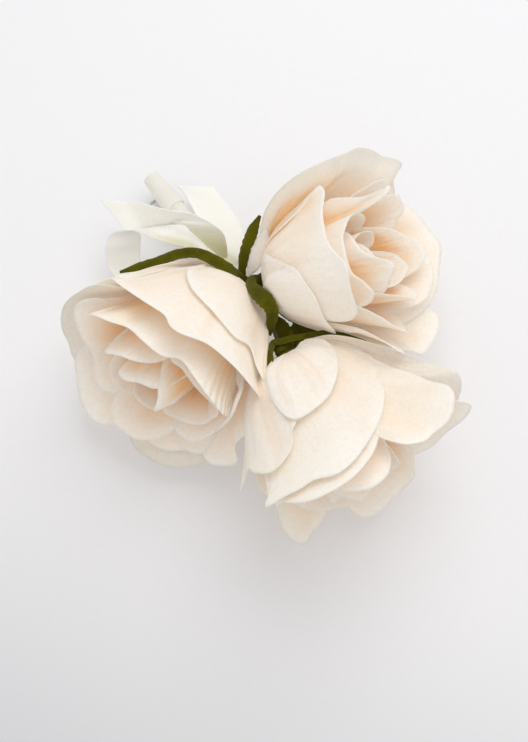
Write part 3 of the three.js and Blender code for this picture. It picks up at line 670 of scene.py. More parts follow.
LEFT_OUTER = [
    petal(-60, [-110, (-112, 26), (-98, 40, 1.1), (-82, 45, 1.15), (-66, 46, 1.2), (-67, 40, 1.1), (-60, 37),
        (-48, 34), (-33, 37), (-18, 36), (6, 32), (28, 26), (44, 18), 38], opened=1.05, laps=(-1, 1.4)),
    petal(0, [-54, (-60, 22), (-62, 31), (-70, 38), (-86, 41, 1.05), (-62, 45), (-39, 48), (-20, 50),
        (-4, 56), (8, 50), (18, 49), (31, 47), (48, 46, 1.08), (64, 42, 1.15), (72, 34, 1.15), (70, 22, 1.1),
        58]),
    petal(86, [38, (38, 26), (46, 42, 1.05), (58, 49, 1.06), (70, 51, 1.02), (82, 53), (94, 54), (105, 54),
        (113, 53), (122, 53), (132, 44), (134, 26), 126], cool=0.8),
    petal(82, [(50, 8, 1.3), (58, 15, 1.3), (67, 21, 1.3), (72, 27, 1.3), (73, 34, 1.27), (70, 41, 1.2),
        (78, 45, 1.12), (96, 42, 1.05), (108, 26), 104], opened=1.15, laps=(0.4, 0.4)),
    petal(146, [104, (104, 28), (112, 46), (122, 53), (131, 55), (142, 58), (153, 59), (163, 55), (174, 48),
        (182, 30), 176]),
    petal(202, [160, (162, 30), (172, 50), (186, 53), (199, 53), (209, 51), (217, 51), (226, 44), (236, 28),
        232]),
    petal(200, [160, (160, 34), (168, 51), (177, 56), (189, 57, 1.07), (202, 57, 1.07), (213, 55, 1.07),
        (222, 51, 1.06), (238, 42), (246, 26), 238], opened=1.04, laps=(0.4, 2.2), cool=1),
    petal(-118, [-154, (-154, 30), (-144, 48, 1.05), (-138, 53, 1.05), (-122, 53, 1.05), (-119, 47),
        (-104, 45), (-84, 41, 1.05), (-74, 28), -80]),
]
LEFT_THIRD = [
    petal(-12, [-90, (-98, 28), (-84, 44), (-64, 51), (-49, 52), (-30, 50), (-15, 48), (-4, 51), (16, 50),
        (35, 48), (46, 53, 0.76), (62, 51, 0.78), (66, 42, 0.8), (68, 26), 58], pleat=1),
    petal(106, [74, (70, 28, 0.8), (70, 38, 0.9), (67, 47, 0.96), (76, 51, 0.94), (92, 50, 0.8), (104, 48),
        (115, 48), (131, 50), (143, 48), (152, 36), (146, 10)]),
    petal(180, [138, (138, 30), (148, 50), (161, 54), (183, 54), (198, 50), (209, 44), (220, 30), 214]),
    petal(-132, [-176, (-172, 32), (-156, 45), (-136, 48), (-118, 46), (-102, 40, 0.71), (-97, 32, 0.76),
        (-92, 18), -94]),
]
LEFT_SECOND = [
    petal(30, [-34, (-28, 28), (-3, 42), (3, 45), (26, 48), (53, 48), (71, 48, 0.4), (74, 38, 0.46), (84, 24),
        80]),
    petal(-50, [-112, (-110, 32), (-94, 44, 0.5), (-77, 45, 0.56), (-49, 43), (-24, 42), (-6, 42), (8, 32),
        8]),
    petal(-136, [-184, (-180, 32), (-165, 42), (-151, 43), (-127, 44), (-112, 44, 0.46), (-99, 42, 0.5),
        (-90, 28), -92]),
    petal(124, [62, (68, 30), (84, 43), (104, 46), (126, 46), (148, 44), (166, 38), (186, 26), 184]),
]
LEFT_INNER = [
    petal(20, [-74, (-62, 30), (-33, 44), (9, 47), (40, 47), (64, 48, 0.08), (82, 46, 0.14), (104, 34, 0.08),
        104]),
    petal(-64, [-154, (-144, 30), (-112, 41), (-86, 45), (-70, 50), (-40, 47), (0, 41), (24, 28), 20]),
    petal(168, [82, (92, 32), (120, 42), (150, 45), (180, 45), (210, 43), (242, 32), 250]),
]
LEFT_LEAVES = [
    [(-7.7, 6.4, 5.2, 0.9), (-7, 8.4, 13, 1.4), (-9.6, 8.6, 18, 1.8), (-14, 11.2, 19, 1.7),
     (-19.1, 13.7, 18.5, 1.5), (-24.8, 13.9, 17, 1.5), (-30.8, 12.3, 15, 1.5), (-36.3, 11.4, 13, 1.3),
     (-42.3, 10.1, 12, 0.1)],
]
LEFT_SLIPS = [
    [(-7, 3.5, 8, 0.5), (-5.6, -10, 15, 1.5), (-6, -20, 23, 1.5), (-6.1, -28.3, 28.6, 1.2),
     (-5.9, -30.9, 30, 0.5), (-7.2, -34.9, 31, 0.6), (-8.5, -38.6, 31, 0.5), (-11, -41.5, 30, 0.6),
     (-13.8, -43.6, 28, 0.1)],
]
RIGHT_OUTER = [
    petal(48, [(-24, 6), (-10, 13), (-1, 16), (8, 20), (15, 24), (22, 26), (31, 28), (42, 30), (52, 30),
        (63, 30), (75, 30), (88, 29), (106, 24), (112, 12),
        (104, 5)], opened=1.05, laps=(2.4, -0.4), roll=0.5),
    petal(4, [(-30, 6), (-34, 16), (-42, 24), (-48, 30, 1.06), (-51, 35, 1.14), (-44, 36, 1.06), (-37, 35),
        (-26, 35), (-12, 36), (2, 37), (13, 40), (21, 43), (37, 43), (50, 43), (62, 39), (72, 28),
        (64, 6)], laps=(1.8, -1), roll=0.6, blush=(-46, 8, 0.5)),
    petal(-88, [-136, (-144, 24), (-138, 40), (-123, 47, 1), (-115, 49, 1), (-112, 54, 1), (-105, 52, 1),
        (-99, 50, 1), (-88, 49, 1), (-73, 48, 1.02), (-65, 46, 1.08), (-66, 42, 1.2), (-63, 38, 1.35),
        (-62, 33, 1.52), (-60, 27, 1.62), (-58, 20, 1.6), (-56, 12, 1.4),
        (-60, 6, 1.2)], opened=1.1, laps=(1, 1.5), roll=0.4, cool=1, blush=(-63, 6, 1), tuck=2.2),
    petal(184, [126, (128, 28), (137, 40), (146, 44), (161, 49), (171, 51), (185, 52), (194, 53), (201, 54),
        (209, 53, 1.04), (220, 51), (230, 48), (240, 36), 240], laps=(-1, -1)),
    petal(136, [96, (98, 26), (110, 40), (122, 48), (124, 51), (133, 52), (144, 53), (153, 53), (161, 49),
        (170, 34), 166], opened=1.02, laps=(1, 1.2)),
    petal(104, [92, (95, 27), (88, 33), (81, 38), (77, 43), (84, 47), (92, 50), (110, 46), (126, 34),
        126], laps=(0.2, -1)),
]
RIGHT_THIRD = [
    petal(-6, [-62, (-68, 20), (-62, 30, 0.76), (-50, 37), (-38, 43), (-34, 50), (-32, 53), (-27, 52),
        (-23, 46), (-24, 40), (-19, 38), (-12, 37), (-5, 36), (8, 36), (17, 36), (30, 37), (39, 40), (50, 42),
        (64, 38), (74, 24), 66], roll=1.6),
    petal(-104, [-152, (-150, 30), (-135, 40), (-129, 42), (-126, 44), (-120, 45), (-108, 45), (-105, 43),
        (-90, 45), (-74, 43), (-62, 30), -64]),
    petal(178, [130, (132, 30), (148, 45), (168, 48), (186, 48), (204, 46), (218, 36), 216]),
    petal(98, [56, (52, 26), (64, 35), (77, 40), (86, 44, 0.72), (98, 48, 0.75), (112, 45, 0.75), (130, 38),
        (142, 24), 138], roll=1.5),
]
RIGHT_SECOND = [
    petal(20, [-46, (-42, 22), (-20, 32), (8, 36), (20, 40), (28, 44), (36, 45), (50, 42), (70, 38), (86, 24),
        82]),
    petal(-152, [-206, (-198, 34), (-186, 43), (-176, 45), (-170, 46), (-161, 46), (-149, 44), (-139, 41),
        (-125, 37), (-112, 31), (-98, 20), -96], blush=(-118, 24, 1.2)),
    petal(-68, [-126, (-122, 26), (-100, 32), (-74, 32), (-50, 31), (-26, 30), (-12, 24), -12]),
    petal(112, [52, (56, 30), (80, 43), (104, 45), (130, 44), (154, 38), (170, 26), 170]),
]
RIGHT_INNER = [
    petal(40, [-50, (-44, 20), (-18, 30), (16, 36), (50, 38), (84, 37), (114, 34), (128, 26), 130]),
    petal(170, [84, (94, 28), (120, 36), (150, 39), (178, 39), (204, 35), (226, 24), 240]),
    petal(-72, [-160, (-148, 26), (-116, 31), (-84, 31), (-50, 30), (-20, 28), (8, 24), 14]),
]
RIGHT_LEAVES = [
    [(2.2, 8, 10.2, 0.9), (-2.6, 7.6, 10.5, 0.8), (-5.6, 9.8, 12, 0.7), (-5.3, 13.4, 15, 1.6),
     (-3.8, 17.7, 17, 1.9), (-2.4, 21.8, 18, 1.5), (-0.6, 25.3, 19, 0.1)],
    [(2.2, 8, 10.2, 0.9), (-2.4, 7.4, 14, 1.1), (-2.9, 2.9, 20, 1.6), (-0.8, -0.5, 23, 2.2),
     (1.2, -3, 24, 2.4), (2.9, -5.4, 23, 1.9), (2.6, -8.3, 18, 1.3), (2.4, -10.1, 14, 0.1)],
]
RIGHT_SLIPS = [
    [(-4.4, 8.4, 13, 0.5), (-2.4, 11, 16.4, 2), (-0.8, 14.1, 18.2, 2.6), (0.4, 17.5, 19.4, 2.1),
     (1, 21.5, 20, 0.3)],
]
BOTTOM_OUTER = [
    petal(-4, [(-42, 5, 1.5), (-50, 11, 1.3), (-49, 14, 1.1), (-38, 18), (-22, 24), (-14, 27), (-4, 30),
        (10, 32), (22, 32), (33, 24), (37, 16), (38, 6, 1.2)], opened=1.12, laps=(2, 2.6), roll=0.5),
    petal(62, [(14, 6), (18, 20), (22, 31), (27, 34), (28, 37), (31, 40), (35, 42), (44, 44), (55, 42),
        (62, 40), (68, 38), (77, 40, 1.05), (89, 42, 1.06), (97, 36), (106, 22),
        (100, 6)], opened=1.08, laps=(1.8, 1)),
    petal(-2, [(-66, 6, 1.15), (-73, 18, 1.28), (-74, 25, 1.28), (-67, 30, 1.16), (-56, 33), (-45, 36),
        (-29, 41), (-20, 44), (-8, 48), (3, 52), (13, 54), (23, 52), (32, 53), (40, 53), (50, 54), (52, 48),
        (60, 38), (66, 22), (58, 6)], opened=1.02, laps=(1.2, -0.8), roll=0.6),
    petal(0, [(-52, 6), (-50, 26), (-34, 38), (-24, 43), (-13, 49), (-2, 53), (9, 56), (18, 57), (28, 57),
        (42, 53), (56, 42), (62, 24), (54, 6)], opened=0.98, laps=(0, -1.4), roll=0.4),
    petal(-52, [(-78, 6, 1.2), (-73, 20, 1.35), (-70, 30, 1.38), (-67, 38, 1.4), (-60, 46, 1.35),
        (-54, 53, 1.3), (-51, 56, 1.22), (-48, 57, 1.1), (-42, 55, 1), (-33, 56, 1), (-26, 54, 1),
        (-22, 50, 1), (-18, 44, 1), (-12, 30, 1), (-14, 10, 1)], opened=0.98, laps=(-1, -1.6), late=2.5),
    petal(-86, [-132, (-134, 26), (-122, 42), (-104, 50), (-87, 52, 1.2), (-77, 51, 1.34), (-76, 47, 1.42),
        (-76, 42, 1.5), (-73, 36, 1.58), (-70, 29, 1.56), (-64, 22, 1.55), (-57, 15, 1.5),
        (-54, 7, 1.4)], opened=1.15, laps=(0.4, 1), cool=0.5),
    petal(-114, [-162, (-160, 28), (-147, 44), (-131, 51), (-121, 53), (-105, 53), (-95, 55, 1.05),
        (-89, 56, 1.12), (-84, 52, 1.14), (-78, 40, 1.1), (-78, 22), -84], laps=(-1, 0.4)),
    petal(142, [98, (100, 26), (114, 38), (131, 44), (135, 49), (138, 53), (149, 59), (154, 56), (163, 52),
        (176, 40), (180, 22), 172]),
    petal(196, [156, (160, 28), (174, 44), (190, 49), (206, 49), (220, 44), (232, 28), 226]),
]
BOTTOM_THIRD = [
    petal(-14, [-74, (-66, 26), (-48, 38), (-34, 42), (-29, 46), (-24, 49), (-15, 52), (-4, 53), (12, 51),
        (30, 46), (46, 32), 46]),
    petal(82, [28, (34, 30), (52, 42), (76, 44), (96, 44), (116, 42), (132, 30), 130]),
    petal(152, [108, (112, 30), (128, 42), (146, 46), (164, 47), (182, 42), (196, 28), 190]),
    petal(214, [162, (164, 30), (169, 43), (173, 47), (180, 52), (187, 54), (200, 54), (217, 53), (232, 52),
        (243, 48), (256, 44), (268, 30), 264]),
    petal(-86, [-132, (-128, 28), (-110, 42), (-92, 46), (-74, 46), (-56, 42), (-42, 28), -44]),
]
BOTTOM_SECOND = [
    petal(2, [-62, (-54, 28), (-32, 42), (-11, 48), (7, 50), (18, 48), (36, 42), (56, 28), 58]),
    petal(96, [40, (46, 30), (70, 40), (96, 42), (122, 40), (142, 28), 146]),
    petal(164, [112, (118, 30), (136, 42), (152, 45), (166, 46), (186, 43), (208, 30), 210]),
    petal(-108, [-172, (-164, 30), (-140, 42), (-112, 44), (-84, 43), (-62, 38), (-44, 26), -44]),
]
BOTTOM_INNER_RIM = [(-88, 8), (-78, 30), (-46, 40), (-10, 43), (26, 42), (60, 38), (86, 28), (88, 8)]
BOTTOM_INNER = [petal(at, [(at + turn, run) for turn, run in BOTTOM_INNER_RIM]) for at in (70, 190, -50)]
BOTTOM_LEAVES = [
    [(7.2, -17.2, 13.2, 0.9), (4.1, -12.6, 14, 0.9), (2.3, -15.9, 18, 1), (2.2, -18.9, 20, 1),
     (2.7, -22.2, 21, 0.9), (2.6, -25.6, 21.5, 0.8), (1.6, -28.8, 22, 0.8), (0.4, -31.6, 22.5, 0.1)],
    [(7.2, -17.2, 13.2, 0.9), (3.2, -13.2, 14.5, 0.8), (5.2, -13.2, 17, 0.8), (8.7, -12.6, 18.5, 0.8),
     (12.8, -11.9, 18.5, 0.7), (18.3, -10.8, 18, 0.7), (24.1, -12, 19, 0.6), (30.1, -13.8, 19, 0.1)],
    # These two leaves are calyx leaves laid across the gap between the roses, also standing in for that gap's
    # deep shade
    [(7.2, -17.2, 12.8, 0.9), (7.4, -12.4, 12.4, 2.2), (6.4, -8.8, 11.6, 2.7), (4.6, -5.4, 10.4, 2.3),
     (2.6, -1.6, 9, 0.2)],
    [(7.2, -17.2, 12.4, 0.9), (8.6, -11.4, 11, 2.6), (11.5, -7.2, 9.5, 3), (16, -5.3, 8.5, 2.6),
     (21, -4.8, 8, 0.2)],
]
ROSES = [
    Rose(
        "left_rose", hub=(-0.385, 0.32, 0.3), heading=-124, lift=19, laps=(-1, 1),
        presses=[(180, 0.4, 2), (0, 0.28, 1)],
        layers=[LEFT_OUTER, LEFT_THIRD, LEFT_SECOND, LEFT_INNER],
        sepals=[(150, 24, 1.4), (-140, 20, 1.5), (-62, 17, 1.7)],
        leaves=LEFT_LEAVES, slips=LEFT_SLIPS,
    ),
    Rose(
        "right_rose", hub=(0.11, 0.4, 0.55), heading=2.6, lift=26, laps=(1, -1),
        presses=[(180, 0.36, 2), (0, 0.3, 1), (90, 0.12, 3)],
        layers=[RIGHT_OUTER, RIGHT_THIRD, RIGHT_SECOND, RIGHT_INNER],
        sepals=[(130, 20, 1.3), (-160, 24, 1.4)],
        leaves=RIGHT_LEAVES, slips=RIGHT_SLIPS,
    ),
    Rose(
        "bottom_rose", hub=(0.36, -0.86, 0.7), heading=-63.4, lift=-2, laps=(-1, 1),
        presses=[(180, 0.37, 2), (0, 0.26, 1)],
        layers=[BOTTOM_OUTER, BOTTOM_THIRD, BOTTOM_SECOND, BOTTOM_INNER],
        sepals=[(130, 20, 1.25), (-150, 24, 1.4)],
        leaves=BOTTOM_LEAVES,
    ),
]

FRAY_DEPTH = 0.1
FRAY_RATES = (60, 2)
FRAY_START = 0.2
SLIP_GRID = (8, 60)


def frayed(v, side, seed):
    """The share of its width that a strip keeps where its edges are worn."""
    worn = waves(v * FRAY_RATES[0], side * FRAY_RATES[1], seed, 1.5, 3)
    return 1 + FRAY_DEPTH * worn * smooth(v / FRAY_START)


def leaf_shape(places, seed):
    """A narrow strip, face up, along places that each end with its half width there."""
    points, halves = [place[:3] for place in places], [place[3] for place in places]
    knots = np.linspace(0, 1, len(places))

    def shape(u, v):
        side = 2 * u - 1
        middle, way = route(points, v)
        across = unit(np.cross(way, UP + 0.001 * way))
        half = np.interp(v, knots, halves) * frayed(v, side, seed) * side
        drop = 0.25 * side**2 - 0.12 * waves(v * 9, side, seed + 9, 1.0)
        laid = middle + across * half[:, None] - UP * drop[:, None]
        return laid, {"edge": np.abs(side) ** 3, "peach_tint_and_shade": 0.1 + 0 * u}

    return shape


def add_petals(rose, name, level, seed, material):
    layer, petals = LAYERS[name], rose.layers[name]
    claw = CLAWS_ANGLE / len(petals)
    pieces = []
    for k, own in enumerate(petals):
        row = {**USUAL_PETAL, "opened": layer["opened"], "laps": rose.laps, **own}
        shape = petal_shape(rose, row, claw, level, layer, seed + 10 * k)
        pieces.append(grid_piece("petal", *layer["grid"], shape, PETAL_CLOTH))
    if name == "outer":
        for places in rose.slips:
            pieces.append(grid_piece("slip", *SLIP_GRID, leaf_shape(places, seed), PETAL_CLOTH))
    piece = joined(f"{rose.name}_{name}_petal_cloth", pieces)
    dress(piece, material, "petal", f"{rose.name}_{name}_petals")
    long = max(place[1] for own in petals for place in own["rim"])
    wide = len(petals) * layer["width"]
    area = wide * long * PETAL_FILL
    wide * MM
    long * MM
    area * MM**2


# Round pieces: a grid rolled up, its seams merged

WELD = 0.000002
SECTION = [0, 0.45, 0.5, 0.95, 1]


def round_piece(name, around, along, shape):
    """A closed form: u runs round it, and v along it or round its section."""
    piece = grid_piece(name, around, along, shape, 0)
    edit(bpy.ops.mesh.remove_doubles, threshold=WELD)
    return piece


def sleeve(start, end, inner, outer, lumps):
    """The shape of a sleeve round the stem from start to end, with lumps on its outside."""

    def shape(u, v):
        turn = u * math.tau
        along = start + (end - start) * np.interp(v, SECTION, [0, 1, 1, 0, 0])
        outside = np.interp(v, SECTION, [1, 1, 0, 0, 1])
        radius = inner + (outer - inner + lumps(turn, along)) * outside
        # Painted shade: green-tinged shade over the knot; the tape's finish doesn't read this mark
        return round_stem(along, radius, turn), {"run": along, "green": 0.75 + 0 * u}

    return shape


# Buds, hips and calyxes

BUD_BASE = 4.3
BUD_HEIGHT = 30.5
BUD_CORE = 0.35
BUD_RADIUS = 3.3
BUD_TURNS = 2.6
BUD_BODY = ([0, 0.1, 0.3, 0.55, 0.8, 1], [0.35, 0.6, 0.9, 1, 0.85, 0.62])
HIP_LOBES = 5
HIP_BODY = ([0, 0.04, 0.15, 0.5, 0.75, 0.94, 1], [0, 1.25, 1.45, 2.2, 2.45, 2.3, 0])
DISC_INNER = 0.9
DISC_OUTER = 3.4
SEPAL_CLOTH = 0.7
SEPAL_HALF_WIDTH = 2.6
SEPAL_WIDTHS = ([0, 0.17, 0.33, 0.5, 0.67, 0.83, 0.93, 1], [0.7, 0.8, 0.95, 1, 0.92, 0.7, 0.42, 0.05])


def add_bud(rose, seed, material):
    def shape(u, v):
        turn = u * BUD_TURNS * math.tau
        rolled = (BUD_CORE + u * (BUD_RADIUS - BUD_CORE)) * np.interp(v, *BUD_BODY)
        radius = rolled + 0.1 * waves(turn, v * 5, seed, 1.2)
        top = BUD_HEIGHT * (1 - 0.12 * u) + 0.8 * waves(turn, 0 * v, seed + 1, 1.5)
        points = ring(radius, turn, BUD_BASE + v * top)
        # Peach tint with painted shade deepening to the bud's foot, and painted grey shade at its tip
        return rose.laid(points), {"peach_tint_and_shade": 0.8 * (1 - v), "edge": smooth((v - 0.9) / 0.1)}

    piece = grid_piece(f"{rose.name}_rolled_bud", 130, 34, shape, PETAL_CLOTH)
    dress(piece, material, "petal", f"{rose.name}_bud")


def add_hip(rose, material):
    def shape(u, v):
        turn = u * math.tau
        radius = np.interp(v, *HIP_BODY) * (1 + 0.05 * np.cos(turn * HIP_LOBES))
        return rose.laid(ring(radius, turn, HIP_TOP - HIP_LENGTH * (1 - v))), {}

    piece = round_piece(f"{rose.name}_hip_cup", 40, 24, shape)
    dress(piece, material, "sepal", f"{rose.name}_hip")


def sepal_shape(rose, at, long, opened, seed):
    def shape(u, v):
        side = u * 2 - 1
        half = SEPAL_HALF_WIDTH * np.interp(v, *SEPAL_WIDTHS) * frayed(v, side, seed)
        run = -CLAW_TUCK + v * (long + CLAW_TUCK)
        openness = opened + 0.05 * waves(v * 3, 0 * v, seed + 5, 1.0) * smooth(v * 2)
        radius = np.maximum(profile(run, openness * rose.room(at + 0 * run))[0], CLAW_RADIUS)
        angle = at + np.degrees(side * half / radius)
        offset = 0.25 * waves(v * 9, side, seed + 9, 1.0) * smooth(v * 3) - 0.3 * side**2 * smooth(v * 2)
        points = rose.surface(angle, run, openness, offset) + CALYX_LEVEL * UP
        return rose.laid(points), {"edge": np.abs(side) ** 3}

    return shape


def add_calyx(rose, seed, material):
    def disc(u, v):
        radius = np.interp(v, SECTION, [DISC_INNER, DISC_OUTER, DISC_OUTER, DISC_INNER, DISC_INNER])
        height = CALYX_LEVEL + SEPAL_CLOTH * np.interp(v, SECTION, [0.5, 0.5, -0.5, -0.5, 0.5])
        return rose.laid(ring(radius, u * math.tau, height)), {"edge": 0 * u}

    pieces = [round_piece("disc", 36, 40, disc)]
    for k, (at, long, opened) in enumerate(rose.sepals):
        shape = sepal_shape(rose, at, long, opened, seed + 20 * k)
        pieces.append(grid_piece("sepal", 12, 110, shape, SEPAL_CLOTH))
    for k, places in enumerate(rose.leaves):
        pieces.append(grid_piece("leaf", 12, 120, leaf_shape(places, seed + 7 * k), SEPAL_CLOTH))
    piece = joined(f"{rose.name}_flocked_sepals", pieces)
    dress(piece, material, "sepal", f"{rose.name}_calyx")


# Taped wires and the tape that binds them

WIRE_RADIUS = 0.6
WIRE_TOP = 4
WIRE_STRAIGHT = 4
BUNDLE_RING = 0.866
TAPE_INNER = 1.766
TAPE_OUTER = 2.066
TAPE_RIDGE = 0.07
TAPE_TWIST = 150

# Each wire's bends in the spreads of the hubs, and its place round the stem in degrees
WIRES = {
    "left_rose": ([(-0.2, 0.63, 0.04), (-0.27, 0.71, -0.18)], 30),
    "right_rose": ([(-0.16, 0.37, 0.31), (-0.17, 0.395, 0.05), (-0.29, 0.52, -0.25)], 150),
    "bottom_rose": ([(0.18, -0.4, 0.57), (0.115, 0.015, 0.21), (0, 0.25, -0.15), (-0.2, 0.43, -0.4)], 270),
}


def add_wire(rose, material):
    bends, place = WIRES[rose.name]
    points = [rose.laid(z * UP) for z in (WIRE_TOP, 0, HIP_TOP - HIP_LENGTH)]
    points += [np.array(bend) * HUB_SPREAD for bend in bends]
    for along in (TAPE_START, TAPE_START + WIRE_STRAIGHT, STEM_END - WIRE_STRAIGHT, STEM_END):
        points.append(round_stem(along, BUNDLE_RING, math.radians(place)))

    def shape(u, v):
        middle, way = route(points, (v - 0.01) / 0.98)
        sideways = unit(np.cross(way, [0.31, 0.22, 0.92]))
        other = np.cross(way, sideways)
        turn = (u * math.tau)[:, None]
        ridge = TAPE_RIDGE * np.sin(v * TAPE_TWIST + u * math.tau) ** 8
        radius = np.where((v > 0) & (v < 1), WIRE_RADIUS + ridge, 0)[:, None]
        return middle + (sideways * np.cos(turn) + other * np.sin(turn)) * radius, {}

    piece = round_piece(f"{rose.name}_taped_wire", 14, 420, shape)
    dress(piece, material, "tape", f"{rose.name}_wire")


def add_tape(material):
    def lumps(turn, along):
        return 0.06 * np.sin(turn + along * 2.2) ** 6 + 0.05 * waves(turn, along, 41, 1.0)

    piece = round_piece("crepe_tape", 48, 240, sleeve(TAPE_START, STEM_END, TAPE_INNER, TAPE_OUTER, lumps))
    dress(piece, material, "tape", "floral_tape")


# Ribbon round the stem: a wound strip whose turns lap over each other, and its end folded over the wires

WRAP_START = 25
WRAP_END = STEM_END - 6.5
WRAP_INNER = 2.366
WRAP_CLOTH = 0.28
WRAP_PITCH = 6.1
WRAP_RISE = 0.5
# Painted shade: grey over the wound ribbon and over its folded end
WRAP_SHADE = 0.5
CUP_SHADE = 0.4
CUP_FOOT = 1.0
CUP_SLANT = 0.8
CUP_LENGTH = 14
CUP_PLACES = [0, 0.02, 0.2, 0.3, 0.5, 0.54, 0.72, 0.82, 0.94, 0.97, 1]
CUP_RADII = [0, 2.2, 2.3, 3.2, 3.25, 3.5, 3.45, 3.1, 2.75, 2.5, 0]
CUP_DEPTHS = [0.4, 0.4, 5.5, 7.5, CUP_LENGTH, CUP_LENGTH, 7.5, 5.5, 0.6, 0.1, 0]


def add_wrap(material):
    turns = (WRAP_END - WRAP_START - RIBBON_WIDTH) / WRAP_PITCH

    def shape(u, v):
        turn = v * turns * math.tau
        radius = WRAP_INNER + WRAP_CLOTH / 2 + WRAP_RISE * u + 0.04 * waves(turn, u * 6, 51, 1.0)
        along = WRAP_START + u * RIBBON_WIDTH + v * turns * WRAP_PITCH
        marks = {"edge": np.abs(2 * u - 1) ** EDGE_POWER, "run": turn * WRAP_INNER, "grey_shade": WRAP_SHADE + 0 * u}
        return round_stem(along, radius, turn), marks

    piece = grid_piece("wound_stem_ribbon", 16, 260, shape, WRAP_CLOTH)
    dress(piece, material, "ribbon", "stem_wrap")


def add_cap(material):
    """The ribbon's end folded over the cut wires as a cup, closed at the foot of the stem."""

    def shape(u, v):
        turn = u * math.tau
        radius = np.interp(v, CUP_PLACES, CUP_RADII) + 0.06 * waves(turn, v * 3, 61, 1.2) * smooth(v * 20)
        radius = radius * np.where((v > 0) & (v < 1), 1, 0)
        depth = np.interp(v, CUP_PLACES, CUP_DEPTHS)
        along = STEM_END + CUP_FOOT - depth + CUP_SLANT * np.cos(turn - 1) * depth / CUP_LENGTH
        return round_stem(along, radius, turn), {"run": along, "grey_shade": CUP_SHADE + 0 * u}

    piece = round_piece("folded_stem_end", 48, 90, shape)
    dress(piece, material, "ribbon", "stem_cap")


# Bow: two tails and a loop, gathered into a knot round the stem

RIBBON_CLOTH = 0.25
BAND_START = 16.5
BAND_LENGTH = 7
BAND_THICKNESS = 1.0
BAND_BULGE = 50
PLEAT_COUNT = 2.5
PLEAT_DEPTH = 0.3
PLEATED_SHARE = 0.2
LOOP_LONG = 60
UNSHADED = (0.5, 0.2, 0)

# Each strip's edges as six numbers a place, its length, where its painted green shade fades, and where its
# low edge gets painted green shade
FRONT_TAIL_EDGES = [
    (-10.9, 18.4, -6.5, -12.6, 18.6, -6.5), (-10.7, 20.9, -4, -13, 20.3, -4),
    (-10.8, 22.8, 0, -17.2, 23.5, -1), (-11.7, 25.5, 3, -21.5, 26.5, 2), (-14, 27.3, 5, -24.7, 28.8, 5),
    (-17.4, 29.2, 6, -26.1, 29.9, 2), (-21.6, 30.9, 6.5, -27.8, 30.9, -1),
    (-25.9, 31.8, 6, -30.1, 31.1, -2.5), (-30.1, 32.8, 5.5, -32.6, 30.9, -3),
    (-34, 34.3, 4.5, -34.7, 30.3, -3), (-37.4, 35.9, 3, -36.6, 29.8, -3), (-41.4, 37.2, 1, -38.4, 29.2, -2.5),
    (-46.1, 37.6, 0, -40.2, 28.7, -2), (-50.3, 38.4, -1, -42.1, 28.2, -1.5),
]
BACK_TAIL_EDGES = [
    (-11.2, 18, -7, -9.6, 17.6, -7), (-10.6, 21.2, -5.5, -7.1, 19.6, -5.5), (-13.7, 25.2, -6, -5.9, 23.7, -6),
    (-17, 30.1, -6.5, -5.3, 28.1, -7), (-19.9, 34.3, -7, -6.6, 32.5, -8), (-22.3, 39.1, -7.5, -9, 37.4, -9),
    (-24.6, 43.3, -8, -12.2, 42, -10), (-26.9, 46.1, -8, -15.3, 46.9, -11),
]
LOOP_EDGES = [
    (-11.6, 19, -6.5, -13.4, 18, -6.5), (-11.8, 21.7, -4, -14.2, 19.5, -4),
    (-17.7, 26.6, -3, -20.1, 20.4, 1.5), (-22.4, 30.4, -3.5, -22.5, 20.9, 3),
    (-27.9, 30.9, -3, -28, 22.3, 3.5), (-33.2, 30, -2.5, -34.1, 24.1, 4.5), (-37.8, 29.2, -2, -36.8, 25.1, 5),
    (-41.4, 28.6, -1.5, -38.6, 25.8, 5), (-45.2, 28.3, -2, -38.4, 26.4, 3), (-47.5, 27.3, -4, -37.4, 26.1, 0),
    (-48.5, 24.7, -6, -37.6, 24.9, -3), (-48.7, 22.7, -8.5, -37.9, 23.7, -6),
    (-48.4, 20.3, -11, -38, 21.2, -9), (-45, 16.5, -13.5, -35.6, 20, -12),
    (-37.5, 12.6, -14.8, -32, 20.6, -13.2), (-27, 10.8, -14.8, -26, 20, -13.8),
    (-18, 12.4, -12.8, -18, 21, -12.2), (-11.6, 16.2, -9.5, -14, 19, -9.5),
]
STRIPS = {
    "front_tail": {"edges": FRONT_TAIL_EDGES, "long": 45, "green": (0.12, 0.36)},
    "back_tail": {"edges": BACK_TAIL_EDGES, "long": 32, "green": (0, 0.3)},
    "loop": {"edges": LOOP_EDGES, "long": 93, "green": (0, 0.14), "shade": (0.2, 0.16, 0.75)},
}


def strip_shape(strip):
    """A ribbon strip between its edges, with painted green shade towards its root and on its low edge's
    shaded stretch.
    """
    first = [edge[:3] for edge in strip["edges"]]
    second = [edge[3:] for edge in strip["edges"]]
    green_shade_start, green_shade_end = strip["green"]
    shade_at, shade_half, shade = strip.get("shade", UNSHADED)

    def shape(u, v):
        one, way = route(first, v)
        two = route(second, v)[0]
        facing = unit(np.cross(way, two - one))
        from_root = np.minimum(v, 1 - v) if strip["long"] > LOOP_LONG else v
        pleated = PLEAT_DEPTH * (1 - smooth(from_root / PLEATED_SHARE))
        pleat = pleated * np.cos(u * math.tau * PLEAT_COUNT) + 0.15 * waves(v * 9, u * 2, 71, 1.0)
        # Painted shade: green-tinged towards the root and on the low edge's stretch
        green = 1 - smooth((v - green_shade_start) / (green_shade_end - green_shade_start))
        low_edge = smooth((u - 0.4) / 0.45) * (1 - smooth(np.abs(v - shade_at) / shade_half))
        green = np.maximum(green, shade * low_edge)
        marks = {"edge": np.abs(2 * u - 1) ** EDGE_POWER, "run": v * strip["long"], "green": green}
        return one + (two - one) * u[:, None] + facing * pleat[:, None], marks

    return shape


